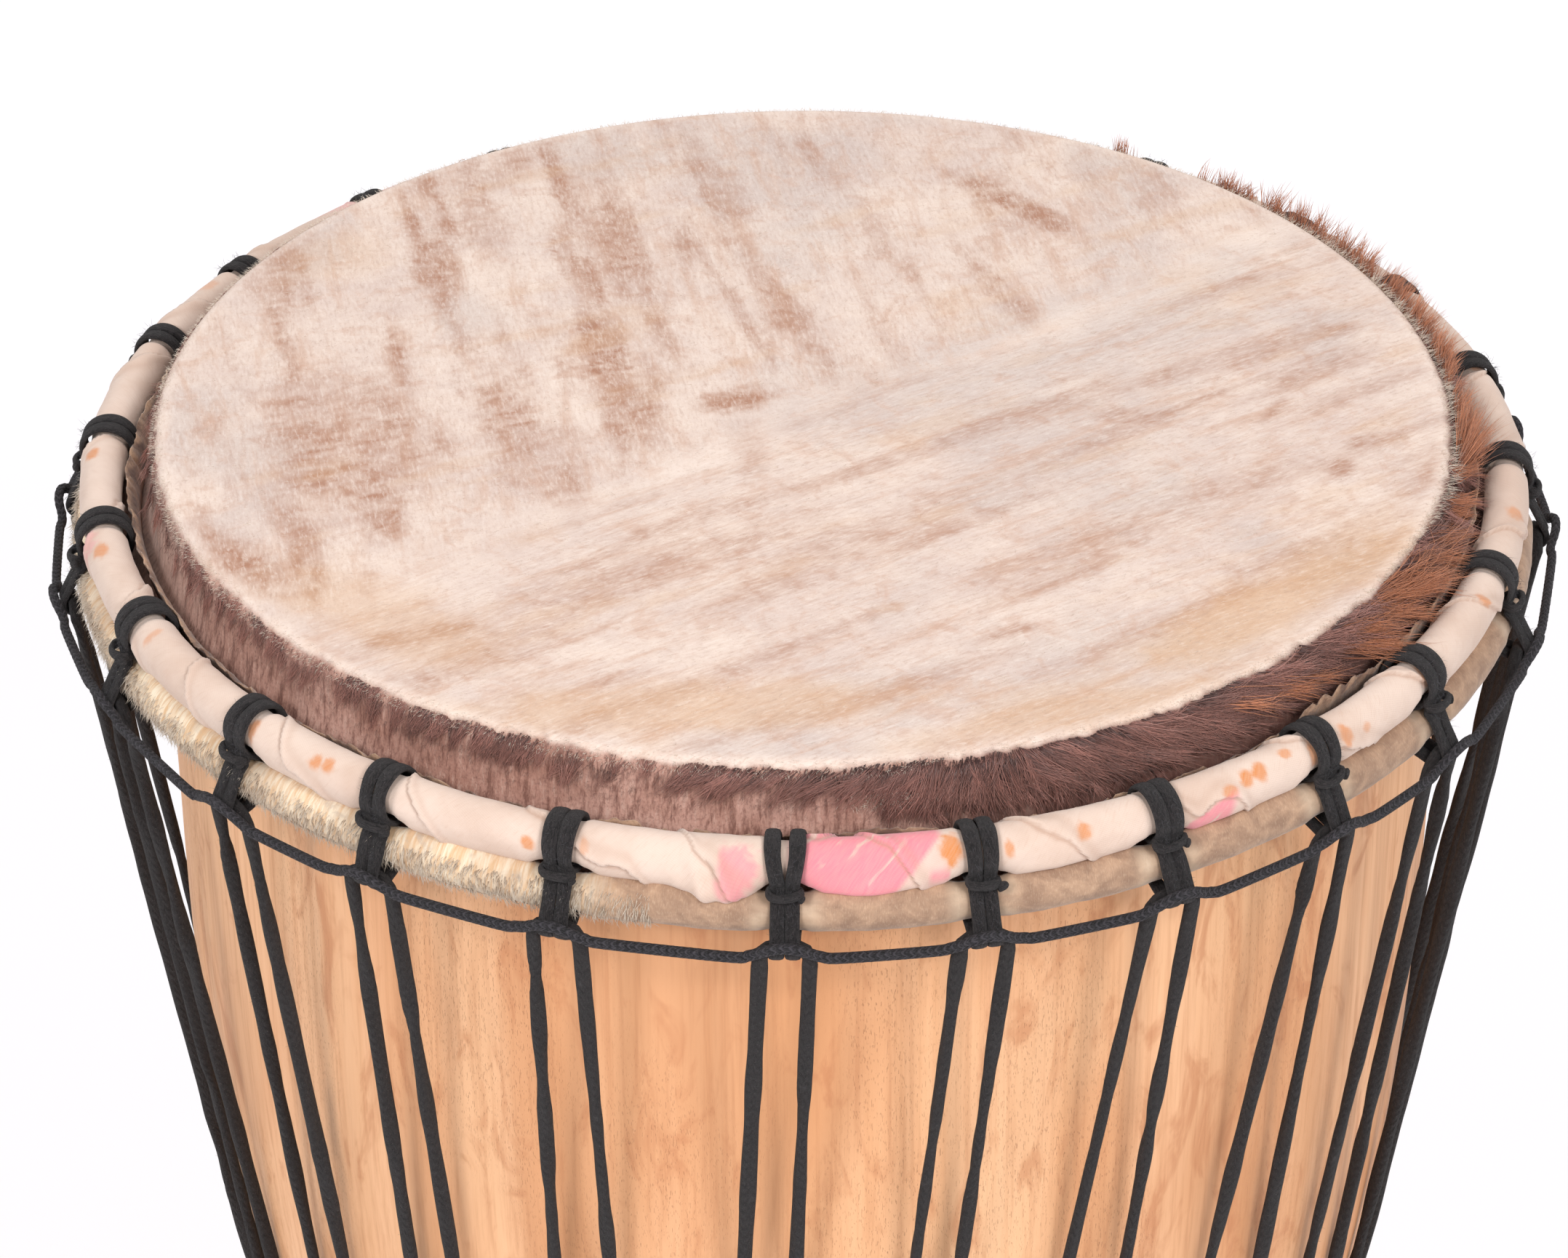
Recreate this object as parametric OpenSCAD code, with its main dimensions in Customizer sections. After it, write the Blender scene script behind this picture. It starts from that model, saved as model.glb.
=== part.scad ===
// Djembe: a carved goblet shell, a goat-skin head held between two stacked rings, and one long
// rope laced down to a ring under the bowl. Millimetres, +Z up, origin at the middle of the foot.

/* [Drum] */
// Overall height, from the foot to the playing surface
drum_h = 620; // [600:5:640]
// Diameter of the head, measured over the skin at the bearing edge
head_d = 330; // [320:1:340]
// Number of loops round each ring
loop_count = 24; // [22:1:26]

/* [Skin] */
// Thickness of the goat skin
skin_t = 1.2; // [0.8:0.1:1.2]
// Rounding of the skin over the bearing edge
edge_round = 3; // [2.5:0.5:6]

/* [Rings] */
// Radius of the steel rod that every ring is bent from
rod_r = 3.6; // [3.2:0.1:3.6]
// Thickness of the cloth wound round the crown ring
crown_cloth_t = 2.7; // [2.2:0.1:2.7]
// Thickness of the cloth wound round the bottom ring
bottom_cloth_t = 2; // [1.6:0.1:2.2]
// How far below the playing surface the crown ring's middle lies
crown_depth = 16.8; // [16:0.1:17]
// How far below the playing surface the flesh ring's middle lies
flesh_depth = 28.8; // [28.8:0.1:29.5]

/* [Ropes] */
// Radius of the lacing rope
rope_r = 1.6; // [1.3:0.1:1.7]
// Radius of the thin braided cord that runs from loop to loop
cord_r = 1.2; // [1:0.1:1.3]
// Width of a loop's strand where it lies flat on a ring
strap_w = 3.8; // [3:0.1:4]
// Thickness of a loop's strand where it lies flat on a ring
strap_t = 1.6; // [1.3:0.1:1.6]

/* [Hidden] */
$fn = 48;
round_fn = 144;          // sides of everything that goes right round the drum

head_r = head_d / 2;
fit_gap = 0.15;          // air between a strand and what it lies on
shell_gap = 0.5;         // air between a rope and the wood
first_loop = -2.8;       // bearing of loop 0 from the drum's front, which faces -Y
loop_step = 360 / loop_count;

// Outside of the shell from the foot to the bearing edge: [radius / head_r, height / drum_h]
shell_outside = [[0.667, 0], [0.655, 0.03], [0.588, 0.095], [0.521, 0.17], [0.464, 0.255],
    [0.431, 0.33], [0.429, 0.38], [0.466, 0.414], [0.676, 0.4435], [0.833, 0.516],
    [0.92, 0.597], [0.965, 0.677], [0.988, 0.76], [0.994, 0.85], [0.993, 0.93], [0.988, 0.985]];
// Inside of the shell, from the foot up
shell_inside = [[0.594, 0], [0.576, 0.03], [0.497, 0.095], [0.424, 0.17], [0.361, 0.255],
    [0.321, 0.33], [0.315, 0.375], [0.336, 0.412], [0.54, 0.461], [0.727, 0.54],
    [0.833, 0.61], [0.891, 0.69], [0.918, 0.78], [0.93, 0.87], [0.933, 0.95], [0.937, 0.985]];
curve_steps = 5;         // points on the curve between two outline points

// Ring centres as [radius, height]
crown = [head_r + 13.7, drum_h - crown_depth];
flesh = [head_r + 16.1, drum_h - flesh_depth];
crown_r = rod_r + crown_cloth_t;          // crown ring over its cloth
flesh_r = rod_r + skin_t + 0.4;           // flesh ring over the rolled skin
bottom_r = rod_r + bottom_cloth_t;        // bottom ring over its cloth
eye_r = rope_r + 0.2;                     // inside of a loop's eye
upper_eye = [head_r + 22.8, drum_h - 34.4];
bottom_seat = drum_h * 0.4435;            // height at which the bottom ring bears on the bowl

// ---------- outlines ----------
function catmull(p, i, t) =
    let (a = p[max(i - 1, 0)], b = p[i], c = p[i + 1], d = p[min(i + 2, len(p) - 1)])
    0.5 * (2 * b + (c - a) * t + (2 * a - 5 * b + 4 * c - d) * t * t
        + (3 * b - a - 3 * c + d) * t * t * t);
function curve(p) = concat(
    [for (i = [0:len(p) - 2], s = [0:curve_steps - 1]) catmull(p, i, s / curve_steps)],
    [p[len(p) - 1]]);
function sized(p) = [for (q = p) [q[0] * head_r, q[1] * drum_h]];
function polar(r, a) = r * [cos(a), sin(a)];
function arc(c, r, a0, a1, n) = [for (i = [0:n]) c + polar(r, a0 + (a1 - a0) * i / n)];
function unit(v) = v / norm(v);
function left_of(v) = [-v[1], v[0]];

outside_curve = curve(sized(shell_outside));
// Radius of the shell's outside at a height, and the unit vector that points straight out of it there
function shell_r(z) = lookup(z, [for (q = outside_curve) [q[1], q[0]]]);
function shell_out(z) = unit([2, shell_r(z - 1) - shell_r(z + 1)]);
function off_shell(z, gap) = [shell_r(z), z] + gap * shell_out(z);

bottom = off_shell(bottom_seat, bottom_r + fit_gap + strap_t + shell_gap);
lower_eye = off_shell(bottom_seat + 13, eye_r + strap_t + shell_gap);

// ---------- where the loops are ----------
// The loops are tied by hand: how many degrees each stands from its even place, round from the front.
upper_sway = [1.4, 0.6, 0, -0.3, -2, -1.3, 0.8, 0.8, 0.5, -0.6, 0.3, -0.6,
    0.8, -0.4, 0.5, -0.7, 0.4, -1.1, -0.3, -0.7, -1.1, 0.9, -0.1, -0.1];
lower_sway = [-5, -7, -4.5, 0.5, 3, 2.5, 1.5, 1, 0, -1, 0.5, 1,
    -0.5, 0.5, 1, 0, -1, -0.5, 0.5, -0.5, -1.3, -2.3, -2.5, -3];
function swayed(list, i) = list[i % loop_count % len(list)];
function upper_bearing(i) = first_loop + i * loop_step + swayed(upper_sway, i);
function lower_bearing(i) = (upper_bearing(i) + upper_bearing(i + 1)) / 2 + swayed(lower_sway, i);
// A point at [radius, height], shifted sideways from a bearing
function place(p, bearing, side = 0) =
    [p[0] * sin(bearing) + side * cos(bearing), side * sin(bearing) - p[0] * cos(bearing), p[1]];
module at_bearing(a) { rotate([0, 0, a - 90]) children(); }

// ---------- ropes as swept tubes ----------
rope_sides = 8;
function radial(p) = unit([p[0], p[1], 0]);
function section(p, dir, r) =
    let (n = unit(radial(p) - (radial(p) * dir) * dir), b = cross(dir, n))
    [for (k = [0:rope_sides - 1]) p + r * (cos(k * 360 / rope_sides) * n + sin(k * 360 / rope_sides) * b)];
function heading(path, i, closed) =
    let (m = len(path), a = closed ? (i + m - 1) % m : max(i - 1, 0), b = closed ? (i + 1) % m : min(i + 1, m - 1))
    unit(path[b] - path[a]);
function side_faces(rings) = [for (i = [0:len(rings) - 1], k = [0:rope_sides - 1])
    let (j = rings[i], n = (k + 1) % rope_sides)
    [j[0] * rope_sides + k, j[1] * rope_sides + k, j[1] * rope_sides + n, j[0] * rope_sides + n]];
module tube(path, r, closed) {
    m = len(path);
    points = [for (i = [0:m - 1]) each section(path[i], heading(path, i, closed), r)];
    joins = [for (i = [0:m - (closed ? 1 : 2)]) [i, (i + 1) % m]];
    caps = closed ? [] : [[for (k = [0:rope_sides - 1]) k],
        [for (k = [rope_sides - 1:-1:0]) (m - 1) * rope_sides + k]];
    polyhedron(points = points, faces = concat(side_faces(joins), caps));
}

// ---------- shell ----------
bearing_top = drum_h - skin_t - fit_gap;
module shell() {
    inside = curve(sized(shell_inside));
    lip_out = outside_curve[len(outside_curve) - 1];
    lip_in = inside[len(inside) - 1];
    lip_r = (lip_out[0] - lip_in[0]) / 2;
    lip = arc([(lip_out[0] + lip_in[0]) / 2, bearing_top - lip_r], lip_r, 0, 180, 10);
    color("burlywood") rotate_extrude($fn = round_fn)
        polygon(concat(outside_curve, lip, [for (i = [len(inside) - 1:-1:0]) inside[i]]));
}

// ---------- skin: playing surface, collar, and the roll round the flesh ring ----------
collar_foot = [head_r + 1.3, drum_h - 20];
skin_mid = skin_t / 2;
roll_r = rod_r + 0.25 + skin_mid;          // middle of the skin where it goes round the rod
roll_end = 64;                             // angle round the rod at which the skin ends
function tangent_angle(from, c, r) =
    let (v = c - from) atan2(v[1], v[0]) - asin(r / norm(v)) - 90;
module head_skin() {
    centre = [head_r - skin_mid - edge_round, drum_h - skin_mid - edge_round];
    path = concat(
        [[0, drum_h - skin_mid]],
        arc(centre, edge_round, 90, 6, 8),
        [collar_foot],
        arc(flesh, roll_r, tangent_angle(collar_foot, flesh, roll_r), roll_end, 16));
    last = len(path) - 1;
    normals = [for (i = [0:last]) i == 0 ? [0, 1]
        : left_of(unit(path[min(i + 1, last)] - path[max(i - 1, 0)]))];
    rim = [for (i = [0:last]) path[i] + skin_mid * normals[i]];
    lining = [for (i = [last:-1:0]) path[i] - skin_mid * normals[i]];
    color("tan") rotate_extrude($fn = round_fn) polygon(concat(rim, lining));
}

// ---------- rings ----------
module hoop(at, r) { rotate_extrude($fn = round_fn) translate(at) circle(r); }
module flesh_ring() { color("dimgray") hoop(flesh, rod_r); }
module crown_ring() { color("dimgray") hoop(crown, rod_r); }
module bottom_ring() { color("dimgray") hoop(bottom, rod_r); }
module wound_cloth(at, r) {
    rotate_extrude($fn = round_fn) translate(at) difference() {
        circle(r);
        circle(rod_r);
    }
}
module crown_ring_cloth() { color("bisque") wound_cloth(crown, crown_r); }
module bottom_ring_cloth() { color("bisque") wound_cloth(bottom, bottom_r); }

// ---------- loops: two flat strands from a ring to an eye ----------
strand_mid = strap_t / 2;
strand_offset = strap_w / 2 + fit_gap;
leg_trim = 0.1;          // a leg is this much thinner than a strand, so that no edge is tangent
// Unit vector to the outer side of a belt that runs from circle a to circle b
function belt_side(a, ra, b, rb, turn) =
    let (v = b - a) polar(1, atan2(v[1], v[0]) + turn * acos((ra - rb) / norm(v)));
module leg(a, ra, b, rb, turn) {
    u = belt_side(a, ra, b, rb, turn);
    h = strand_mid - leg_trim;
    polygon([a + u * (ra - h), a + u * (ra + h), b + u * (rb + h), b + u * (rb - h)]);
}
module wrap(at, mid_r) {
    translate(at) difference() {
        circle(mid_r + strand_mid);
        circle(mid_r - strand_mid);
    }
}
// Stands a flat strand's outline in the upright plane through the drum's axis
module strands() {
    for (side = [-1, 1]) translate([0, side * strand_offset, 0])
        rotate([90, 0, 0]) linear_extrude(strap_w, center = true) children();
}
hitch_r = 1.5;
hitch_l = 10;
hitch_lift = 1.6;        // how far the hitch lies above the middle of the two rings
eye_mid = eye_r + strand_mid;
module upper_loop() {
    crown_mid = crown_r + fit_gap + strand_mid;
    flesh_mid = flesh_r + fit_gap + strand_mid;
    strands() {
        wrap(crown, crown_mid);
        leg(crown, crown_mid, flesh, flesh_mid, 1);
        translate(flesh + polar(flesh_mid, 3)) circle(strand_mid);
        leg(flesh, flesh_mid, upper_eye, eye_mid, 1);
        wrap(upper_eye, eye_mid);
    }
    hitch = (crown + flesh) / 2 + [flesh_mid + 0.3, hitch_lift];
    translate([hitch[0], 0, hitch[1]]) rotate([90, 0, 0]) cylinder(r = hitch_r, h = hitch_l, center = true);
}
module lower_loop() {
    bottom_mid = bottom_r + fit_gap + strand_mid;
    strands() {
        wrap(bottom, bottom_mid);
        leg(bottom, bottom_mid, lower_eye, eye_mid, -1);
        leg(bottom, bottom_mid, lower_eye, eye_mid, 1);
        wrap(lower_eye, eye_mid);
    }
}
module upper_loops() {
    color("#202022") for (i = [0:loop_count - 1]) at_bearing(upper_bearing(i)) upper_loop();
}
module lower_loops() {
    color("#202022") for (i = [0:loop_count - 1]) at_bearing(lower_bearing(i)) lower_loop();
}

// ---------- lacing: up, through an upper eye, down, through a lower eye, and on ----------
upper_half = 5.7;        // half the gap between the two falls under an upper loop
upper_bend = 1.1;        // how far a fall is rounded into the stretch through an upper eye
lower_half = 8.4;        // half the gap between the two falls over a lower loop
lower_bend = 2.4;        // the same rounding at a lower eye
touch_z = drum_h - 224;  // where the straight falls come to lie on the bowl
lie_steps = 6;           // stretches that a fall is bent into where it lies on the bowl
function fall_at(z, share, i, side) =
    let (from = upper_bearing(i) + side * upper_half / upper_eye[0] * 57.3,
        to = (side > 0 ? lower_bearing(i) : lower_bearing(i - 1)) - side * lower_half / lower_eye[0] * 57.3)
    place(off_shell(z, rope_r + shell_gap), from + (to - from) * share);
function fall(i, side) =
    let (low = lower_eye[1] + 12, span = upper_eye[1] - lower_eye[1])
    [for (s = [0:lie_steps]) let (z = touch_z + (low - touch_z) * s / lie_steps)
        fall_at(z, (upper_eye[1] - z) / span, i, side)];
function turn(eye, away, bearing, half, bend) =
    [place(eye + away, bearing, -half), place(eye, bearing, -half + bend),
        place(eye, bearing, half - bend), place(eye + away, bearing, half)];
function turn_up(i) = turn(upper_eye, upper_bend * [-0.15, -1], upper_bearing(i), upper_half, upper_bend);
function turn_down(i) = turn(lower_eye, lower_bend * [0.5, 0.9], lower_bearing(i), lower_half, lower_bend);
function reversed(p) = [for (i = [len(p) - 1:-1:0]) p[i]];
module lacing_rope() {
    path = [for (i = [0:loop_count - 1])
        each concat(turn_up(i), fall(i, 1), turn_down(i), reversed(fall(i + 1, -1)))];
    color("#202022") tube(path, rope_r, true);
}

// ---------- thin cord that runs round in front of every upper eye ----------
cord_rest = upper_eye + [rope_r + cord_r + 0.3, -0.4];
cord_hump = upper_eye + [eye_r + strap_t + cord_r + 0.2, 2.6];
function cord_over(i) = let (a = upper_bearing(i))
    [place(cord_rest, a, -10), place((cord_rest + 2 * cord_hump) / 3, a, -6), place(cord_hump, a, -3),
        place(cord_hump, a, 3), place((cord_rest + 2 * cord_hump) / 3, a, 6), place(cord_rest, a, 10)];
module running_cord() {
    color("#26262a") tube([for (i = [0:loop_count - 1]) each cord_over(i)], cord_r, true);
}

// ---------- knot that joins the rope's two ends, over a lower loop at the drum's back ----------
knot_r = 4.2;
knot_gap = 0.6;
knot_end_l = 12;
knot_end_splay = 28;
knot_bearing = lower_bearing(floor(loop_count / 2));
module rope_knot() {
    knot = lower_eye + (eye_r + strap_t + knot_r + knot_gap) * shell_out(lower_eye[1]);
    color("#202022") at_bearing(knot_bearing) translate([knot[0], 0, knot[1]]) {
        sphere(knot_r);
        for (side = [-1, 1]) rotate([side * knot_end_splay, 0, 0])
            translate([0, 0, -knot_end_l]) cylinder(r = rope_r, h = knot_end_l);
    }
}

shell();
head_skin();
flesh_ring();
crown_ring();
crown_ring_cloth();
upper_loops();
running_cord();
lacing_rope();
lower_loops();
bottom_ring();
bottom_ring_cloth();
rope_knot();
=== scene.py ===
"""The looks of a rope-tuned djembe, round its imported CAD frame. Lengths are in mm until a mesh is made."""
import itertools
import math

import bpy
import numpy as np
from mathutils import Matrix, Vector


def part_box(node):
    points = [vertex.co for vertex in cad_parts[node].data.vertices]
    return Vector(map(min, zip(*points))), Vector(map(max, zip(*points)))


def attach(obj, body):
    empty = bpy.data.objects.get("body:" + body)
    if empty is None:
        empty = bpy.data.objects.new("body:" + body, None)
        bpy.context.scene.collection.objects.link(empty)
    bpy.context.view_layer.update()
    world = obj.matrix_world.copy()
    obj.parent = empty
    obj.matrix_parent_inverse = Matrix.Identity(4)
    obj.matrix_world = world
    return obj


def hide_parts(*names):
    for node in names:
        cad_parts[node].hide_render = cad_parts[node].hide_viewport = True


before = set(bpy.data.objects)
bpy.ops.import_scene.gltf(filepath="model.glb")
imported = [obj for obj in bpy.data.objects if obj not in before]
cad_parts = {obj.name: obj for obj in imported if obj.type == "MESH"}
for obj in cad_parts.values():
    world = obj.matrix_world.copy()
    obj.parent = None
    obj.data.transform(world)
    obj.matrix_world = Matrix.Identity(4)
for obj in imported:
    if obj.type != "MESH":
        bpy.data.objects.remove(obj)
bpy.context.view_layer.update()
MM = 0.001
TAU = 2 * math.pi
rng = np.random.default_rng(11)


# ---------------------------------------------------------------- sizes read from the frame
def box_mm(node):
    low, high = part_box(node)
    return np.array(low) / MM, np.array(high) / MM


def ring_of(node):
    """Centre radius, centre height and tube radius of a ring."""
    low, high = box_mm(node)
    tube = (high[2] - low[2]) / 2
    return (high[0] - low[0]) / 2 - tube, (high[2] + low[2]) / 2, tube


CROWN_R, CROWN_Z, CROWN_T = ring_of("crown_ring_cloth")
FLESH_R, FLESH_Z, ROD_R = ring_of("flesh_ring")
BOTTOM_R, BOTTOM_Z, BOTTOM_T = ring_of("bottom_ring_cloth")
DRUM_H = box_mm("head_skin")[1][2]
HEAD_R = CROWN_R - 13.7                      # radius of the playing surface with its rounded edge
FLESH_T = 5.2                                # flesh ring with the hide rolled round it
EDGE_ROUND = 3.6                             # outside rounding of the skin at the bearing edge
ROPE_R, STRAP_T = 1.6, 1.6                   # radius of the lacing, thickness of a loop's flat strand
UPPER_EYE = np.array([HEAD_R + 22.8, DRUM_H - 34.4])    # [radius, height] where the lacing goes through
UPPER_HALF, LOWER_HALF = 5.7, 8.4            # half the gap between two falls, above and below
TOUCH_Z = DRUM_H - 224                       # where the straight falls come to lie on the bowl

# Loops round the drum: the first one's bearing, their number, and how far each sits from an even step
FIRST_LOOP, LOOPS = -2.8, 24
LOOP_STEP = 360 / LOOPS
UPPER_SWAY = [1.4, 0.6, 0, -0.3, -2, -1.3, 0.8, 0.8, 0.5, -0.6, 0.3, -0.6,
              0.8, -0.4, 0.5, -0.7, 0.4, -1.1, -0.3, -0.7, -1.1, 0.9, -0.1, -0.1]
LOWER_SWAY = [-5, -7, -4.5, 0.5, 3, 2.5, 1.5, 1, 0, -1, 0.5, 1,
              -0.5, 0.5, 1, 0, -1, -0.5, 0.5, -0.5, -1.3, -2.3, -2.5, -3]

# Shell outlines from the foot up, as [radius / HEAD_R, height / DRUM_H]
SHELL_OUTSIDE = [[0.667, 0], [0.655, 0.03], [0.588, 0.095], [0.521, 0.17], [0.464, 0.255],
                 [0.431, 0.33], [0.429, 0.38], [0.466, 0.414], [0.676, 0.4435], [0.833, 0.516],
                 [0.92, 0.597], [0.965, 0.677], [0.988, 0.76], [0.994, 0.85], [0.993, 0.93], [0.988, 0.985]]
SHELL_INSIDE = [[0.594, 0], [0.576, 0.03], [0.497, 0.095], [0.424, 0.17], [0.361, 0.255],
                [0.321, 0.33], [0.315, 0.375], [0.336, 0.412], [0.54, 0.461], [0.727, 0.54],
                [0.833, 0.61], [0.891, 0.69], [0.918, 0.78], [0.93, 0.87], [0.933, 0.95], [0.937, 0.985]]


def upper_bearing(i):
    return FIRST_LOOP + i * LOOP_STEP + UPPER_SWAY[i % LOOPS]


def lower_bearing(i):
    return (upper_bearing(i) + upper_bearing(i + 1)) / 2 + LOWER_SWAY[i % LOOPS]


def far_back(bearing):
    """1 at the drum's back, where rings and loops lie a little deeper, and 0 at its front and sides."""
    turned = abs((bearing + 180) % 360 - 180) - 100
    return np.clip(turned / 20, 0, 1)


BACK = LOOPS // 2                            # the loop at the back, where every seam is hidden
SEAM = upper_bearing(BACK) - 360


def place(radius, bearing, z, side=0.0):
    """A point at a radius and height, side mm round from a bearing in degrees. Bearing 0 faces -Y."""
    a = np.radians(bearing)
    radius, side, z = np.broadcast_arrays(radius, side, z)
    return np.stack([radius * np.sin(a) + side * np.cos(a),
                     side * np.sin(a) - radius * np.cos(a), z + 0 * a], -1)


def on_tube(ring_r, ring_z, bearing, angle, radius):
    """A point round a ring's tube: angle in degrees, 0 facing out and 90 facing up."""
    f = np.radians(angle)
    return place(ring_r + radius * np.cos(f), bearing, ring_z + radius * np.sin(f))


# ---------------------------------------------------------------- small maths
def unit(v):
    return v / np.maximum(np.linalg.norm(v, axis=-1, keepdims=True), 1e-12)


def smoothstep(low, high, x):
    t = np.clip((x - low) / (high - low), 0, 1)
    return t * t * (3 - 2 * t)


def bell(x, middle, width):
    return np.exp(-((x - middle) / width) ** 2)


def from_loop(a, radius):
    """Mm round the drum, at a radius, from bearings to the nearest upper loop."""
    return np.min([abs(around(a, upper_bearing(i))) for i in range(LOOPS)], axis=0) * math.radians(radius)


def around(a, middle):
    """Degrees from a bearing, from -180 to 180."""
    return (np.asarray(a) - middle + 180) % 360 - 180


def lattice(cells, seed):
    """A fixed random value from 0 to 1 for each whole-numbered cell."""
    h = np.full(cells[0].shape, (seed * 7919 + 17) & 0xFFFFFFFF, np.uint32)
    for c, prime in zip(cells, (73856093, 19349663, 83492791)):
        h = (h ^ (c.astype(np.int64) * prime & 0xFFFFFFFF).astype(np.uint32)) * np.uint32(2654435761)
        h ^= h >> np.uint32(15)
    return h / 4294967295.0


def noise(*p, seed=0):
    """Smooth value noise from -1 to 1 of one to three coordinates."""
    p = np.broadcast_arrays(*[np.asarray(x, float) for x in p])
    base = [np.floor(x) for x in p]
    ease = [(x - b) ** 2 * (3 - 2 * (x - b)) for x, b in zip(p, base)]
    total = 0
    for corner in itertools.product((0, 1), repeat=len(p)):
        weight = np.prod([e if c else 1 - e for c, e in zip(corner, ease)], axis=0)
        total = total + weight * lattice([b + c for b, c in zip(base, corner)], seed)
    return 2 * total - 1


def fbm(*p, octaves=4, seed=0):
    total = sum(noise(*[x * 2 ** k for x in p], seed=seed + k) / 2 ** k for k in range(octaves))
    return total / (2 - 2 ** (1 - octaves))


def ring_noise(a, z, across, seed=0, octaves=3):
    """Noise on a round surface, without a seam: a in degrees, across in features round the drum / tau."""
    r = np.radians(a)
    return fbm(np.sin(r) * across, np.cos(r) * across, np.asarray(z) + 0 * r, seed=seed, octaves=octaves)


def catmull(p, steps):
    """A smooth curve through points, with this many steps between two of them."""
    p = np.array(p, float)
    out = []
    for i in range(len(p) - 1):
        a, b, c, d = p[max(i - 1, 0)], p[i], p[i + 1], p[min(i + 2, len(p) - 1)]
        for s in range(steps):
            t = s / steps
            out.append(0.5 * (2 * b + (c - a) * t + (2 * a - 5 * b + 4 * c - d) * t * t
                              + (3 * b - a - 3 * c + d) * t ** 3))
    return np.array(out + [p[-1]])


def resample(path, step, closed=False):
    """The path with points about step apart."""
    path = np.array(path, float)
    if closed:
        path = np.concatenate([path, path[:1]])
    s = np.concatenate([[0], np.cumsum(np.linalg.norm(np.diff(path, axis=0), axis=1))])
    n = max(3, int(round(s[-1] / step)))
    at = np.linspace(0, s[-1], n + 1)
    if closed:
        at = at[:-1]
    return np.stack([np.interp(at, s, path[:, k]) for k in range(path.shape[1])], -1)


def arc(centre, radius, start, end, n):
    """n points of an arc, from one angle in degrees to another."""
    a = np.radians(np.linspace(start, end, n))
    return np.stack([centre[0] + radius * np.cos(a), centre[1] + radius * np.sin(a)], -1)


OUTSIDE = catmull(np.array(SHELL_OUTSIDE) * [HEAD_R, DRUM_H], 5)


def shell_r(z):
    return np.interp(z, OUTSIDE[:, 1], OUTSIDE[:, 0])


def off_shell(z, gap):
    """[radius, height] at a gap from the shell's outside."""
    out = unit(np.stack([2 + 0 * z, shell_r(z - 1) - shell_r(z + 1)], -1))
    return np.stack([shell_r(z), z], -1) + gap * out


BOWL_FOOT = SHELL_OUTSIDE[8][1] * DRUM_H     # where the bowl starts to open above the bottom ring
LOWER_EYE = off_shell(BOWL_FOOT + 13, ROPE_R + STRAP_T + 0.7)


# ---------------------------------------------------------------- meshes
SQUARENESS = 0.8                             # a strand's section: 1 is an ellipse, and less is squarer


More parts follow.
